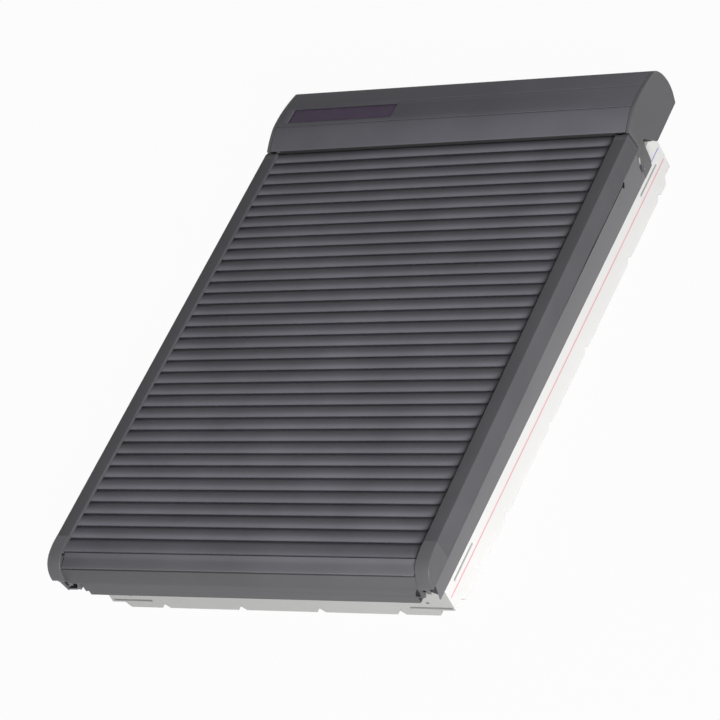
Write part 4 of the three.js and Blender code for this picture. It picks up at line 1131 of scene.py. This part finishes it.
def addSillCover(setup):
    low, bend, nose, shelf = (fromShutter(*setup[name]) for name in ("edge", "bend", "nose", "shelf"))
    face = bezier([nose, *around(nose, [setup["nosePull"]]), *around(bend, [setup["bendPull"]]), bend], 8)
    path = [*setup["slopeEnd"], shelf, *face, low, (low[0] + setup["return"], low[1])]
    cover = bar("sillCoverSheet", sheetOutline(path, setup["wall"]), -setup["bandHalf"], setup["bandHalf"])
    under, end, room = low[1] - setup["cutBelow"], setup["cutEnd"], setup["shelfCut"]
    reach = [low[0] + past for past in setup["cutFromEdge"]]
    cutters = []
    for side, line in setup["endShapes"].items():
        shape = [(line[0][0] - 1, under), *line, (end, line[-1][1]), (end, under)]
        cutters.append(bar("endShape", [(side * x, z) for x, z in shape], *reach, "Y"))
        across = sorted((side * setup["half"], side * room["end"]))
        cutters.append(
            block("shelfEnd", across, (nose[0] + room["fromNose"], room["stop"]), (under, nose[1] + room["above"]))
        )
    cutters.append(bar("endHole", evenlyRounded(setup["endHole"], setup["holeRound"]), *reach, "Y"))
    combine(cover, cutters)
    fix(softBar("sillCoverLiner", setup["liner"]), ontoWindow, "sealRubber")
    soften(cover, setup["softEdge"], 2, 20)
    # The sill cover takes the darker copy of the cover lacquer, which is painted shade.
    fix(cover, ontoWindow, "sillLacquer", ["sill_cover"], 25)


addSillCover(sillCover)

headCover = {
    "half": 384,
    "path": [(1177.5, 108.3), (1177.5, 116.3), (1176.5, 117.3), (1142, 117.3), (1141, 116.3), (1141, 108.3)],
    "wall": 2,
    "edge": 0.4,
}


def addHeadCover(setup):
    cover = bar("headCoverSheet", sheetOutline(setup["path"], setup["wall"]), -setup["half"], setup["half"])
    soften(cover, setup["edge"])
    fix(cover, ontoWindow, "coverLacquer", ["head_cover"])


addHeadCover(headCover)
print("covers done")

# The window frame. Its members are drawn with their outer face to -Y and their middle at x = 0, then turned
frameMember = {
    "section": [
        (0, 0, 1), (12, 0, 1), (12, 15), (24, 15), (24, 0, 1), (45, 0, 1.5), (45, 94, 1), (37, 94),
        (37, 108, 1), (0, 108, 1.6),
    ],
    "gap": 0.15,
    "edge": 0.3,
    "lip": {"length": 30, "run": 10, "top": 15, "low": -2, "past": 5},
    "lipDepth": (-3, 12.01),
    "notch": {"half": 12, "top": 11, "low": -2.2},
    "slot": {"size": (47.5, 2.5), "round": 2.2, "steps": 3, "depth": (-2, 6)},
    "insert": {"past": 0.4, "depth": (2.2, 5.6), "half": 2.3, "edge": 0.5},
    "mark": {"radius": 5.2, "width": 0.9, "depth": 0.7, "turn": 250, "steps": 18},
    "line": {"inset": 7.5, "half": 1.7, "start": -2, "stop": 1.2, "paintStart": 0.25, "edge": 0.15},
    "levels": {"red": 42.5, "blue": 73},
    "tickDepth": (-2, 0.8),
    "bore": {"radius": 6.6, "place": (0, 42, 76), "length": 18},
    "ovalAt": (338, 34.5),
    "oval": {"size": (4, 2), "round": 1.9, "steps": 4, "depth": (-2, 9)},
    # A black pill set in each oval hole: painted shade for the dark inside of the hole.
    "stopper": {"size": (3.6, 1.6), "round": 1.5, "steps": 4, "depth": (1.2, 6)},
    "sill": {
        "notches": [-0.344, -0.115, 0.115, 0.344],
        "slot": (3, 20.5),
        "markLevel": 19,
        "ticks": [(-316.5, -315.5), (315.5, 316.5)],
        "tickLevels": (25, 28.4),
    },
    "side": {
        "notches": [-0.41, -0.29, -0.095, 0.073, 0.283, 0.434],
        "slot": (36, 56),
        "markLevel": 16,
        "ticks": [(485, 486), (-484, -483)],
        "tickLevels": (60, 64.5),
    },
}


def joinPieces(pieces):
    clearSelection()
    for piece in pieces:
        piece.select_set(True)
    bpy.context.view_layer.objects.active = pieces[0]
    bpy.ops.object.join()
    return pieces[0]


# A flat pill; its size is half its width and half its height
def pill(name, at, level, setup):
    half, high = setup["size"]
    corners = [(at + x * half, level + z * high) for x, z in ((-1, -1), (1, -1), (1, 1), (-1, 1))]
    return bar(name, evenlyRounded(corners, setup["round"], setup["steps"]), *setup["depth"], "Y")


# A shallow open ring cut into the outer face, drawn by spinning a small rectangle
def roundMark(at, level, mark):
    size = (mark["width"] * mm, mark["depth"] * 2 * mm, 1)
    place = ((at + mark["radius"]) * mm, 0, level * mm)
    piece = addShape("roundMark", bpy.ops.mesh.primitive_plane_add, size, size=1, location=place)
    editAll(piece)
    turn = -math.radians(mark["turn"])
    middle = (at * mm, 0, level * mm)
    bpy.ops.mesh.spin(steps=mark["steps"], angle=turn, center=middle, axis=(0, 1, 0), use_auto_merge=False)
    leaveEdit()
    turnFacesOut(piece)
    return piece


def memberCutters(length, member, setup):
    lip, notch, end = setup["lip"], setup["notch"], length / 2
    start, past = end - lip["length"], end + lip["past"]
    shape = [(start - lip["run"], lip["low"]), (start, lip["top"]), (past, lip["top"]), (past, lip["low"])]
    cutters = [bar("lipEnd", [(side * x, z) for x, z in shape], *setup["lipDepth"], "Y") for side in (-1, 1)]
    for share in member["notches"]:
        at = share * length
        tip = [(at - notch["half"], notch["low"]), (at, notch["top"]), (at + notch["half"], notch["low"])]
        cutters.append(bar("lipNotch", tip, *setup["lipDepth"], "Y"))
    inset, level = member["slot"]
    slot = pill("endSlot", end - inset - setup["slot"]["size"][0], level, setup["slot"])
    return [*cutters, otherHand(slot, "endSlotLeft"), slot]


def tickCutters(member, setup):
    return [block("tick", ends, setup["tickDepth"], member["tickLevels"]) for ends in member["ticks"]]


def cutMarks(piece, length, member, setup):
    marks = [roundMark(share * length, member["markLevel"], setup["mark"]) for share in member["notches"]]
    combine(piece, [joinPieces(marks)])
    soften(piece, setup["edge"], 1, 50)


def levelLine(name, length, level, line, start):
    reach = length / 2 - line["inset"]
    return block(name, (-reach, reach), (start, line["stop"]), (level - line["half"], level + line["half"]))


def turnAndMove(piece, angle, x, y):
    piece.rotation_euler.z = angle
    piece.location = (x * mm, y * mm, 0)
    applyPlace(piece)


def ontoRightSide(piece):
    turnAndMove(piece, math.pi / 2, window["width"] / 2, window["length"] / 2)


def memberBar(name, length, setup):
    piece = bar(name, rounded(setup["section"], 3), -length / 2, length / 2)
    end = length / 2 - setup["gap"]
    trimEnd(piece, (end, 0, 0), (1, 1, 0))
    trimEnd(piece, (-end, 0, 0), (-1, 1, 0))
    return piece


def addFrame(setup):
    width, length = window["width"], window["length"]
    sill = memberBar("frameSill", width, setup)
    combine(sill, [joinPieces(memberCutters(width, setup["sill"], setup))])
    head = copyOf(sill, "frameHead")
    at, level = setup["ovalAt"]
    holes = tickCutters(setup["sill"], setup) + [pill("sillOval", x, level, setup["oval"]) for x in (-at, at)]
    combine(sill, [joinPieces(holes)])
    cutMarks(sill, width, setup["sill"], setup)

    side = memberBar("frameSide_right", length, setup)
    cutters = memberCutters(length, setup["side"], setup) + tickCutters(setup["side"], setup)
    line, bore = setup["line"], setup["bore"]
    cutters += [levelLine("levelGroove", length, level, line, line["start"]) for level in setup["levels"].values()]
    cutters.append(roundBar("pivotBore", bore["radius"], bore["place"], bore["length"], "Y"))
    combine(side, [joinPieces(cutters)])
    cutMarks(side, length, setup["side"], setup)

    turnAndMove(head, math.pi, 0, length)
    ontoRightSide(side)
    left = otherHand(side, "frameSide_left")
    # The sill takes the greyer white, which is painted shade on its front face.
    for piece, finish, node in (
        (sill, "sillWhite", "frame_sill"),
        (head, "windowWhite", "frame_head"),
        (side, "windowWhite", "frame_right"),
        (left, "windowWhite", "frame_left"),
    ):
        fix(piece, ontoWindow, finish, [node])


# Black pills in the sill's oval holes, as painted shade inside the holes.
def addOvalShades(setup):
    at, level = setup["ovalAt"]
    for side, x in (("left", -at), ("right", at)):
        fix(pill("sillStopper_" + side, x, level, setup["stopper"]), ontoWindow, "blackPlastic")


# Grey bars set deep in the frame's slots, as painted shade in the slots.
def addSlotShadeInserts(setup):
    insert = setup["insert"]
    for name, run in (("sill", window["width"]), ("side", window["length"])):
        inset, level = setup[name]["slot"]
        outer = run / 2 - inset - insert["past"]
        inner = outer - setup["slot"]["size"][0] * 2 + insert["past"] * 2
        levels = (level - insert["half"], level + insert["half"])
        for letter, ends in (("A", (-outer, -inner)), ("B", (inner, outer))):
            hands = [soften(block(f"slotInsert_{name}{letter}", ends, insert["depth"], levels), insert["edge"])]
            if name == "side":
                ontoRightSide(hands[0])
                hands.insert(0, otherHand(hands[0], hands[0].name + "_left"))
            for hand in hands:
                fix(hand, ontoWindow, "slotGrey")


def addLevelLines(setup):
    line = setup["line"]
    for colour, level in setup["levels"].items():
        piece = levelLine(colour + "Line_right", window["length"], level, line, line["paintStart"])
        soften(piece, line["edge"], 1)
        ontoRightSide(piece)
        fixPair(piece, ontoWindow, colour + "Paint")


addFrame(frameMember)
addOvalShades(frameMember)
addSlotShadeInserts(frameMember)
addLevelLines(frameMember)
print("window frame done")
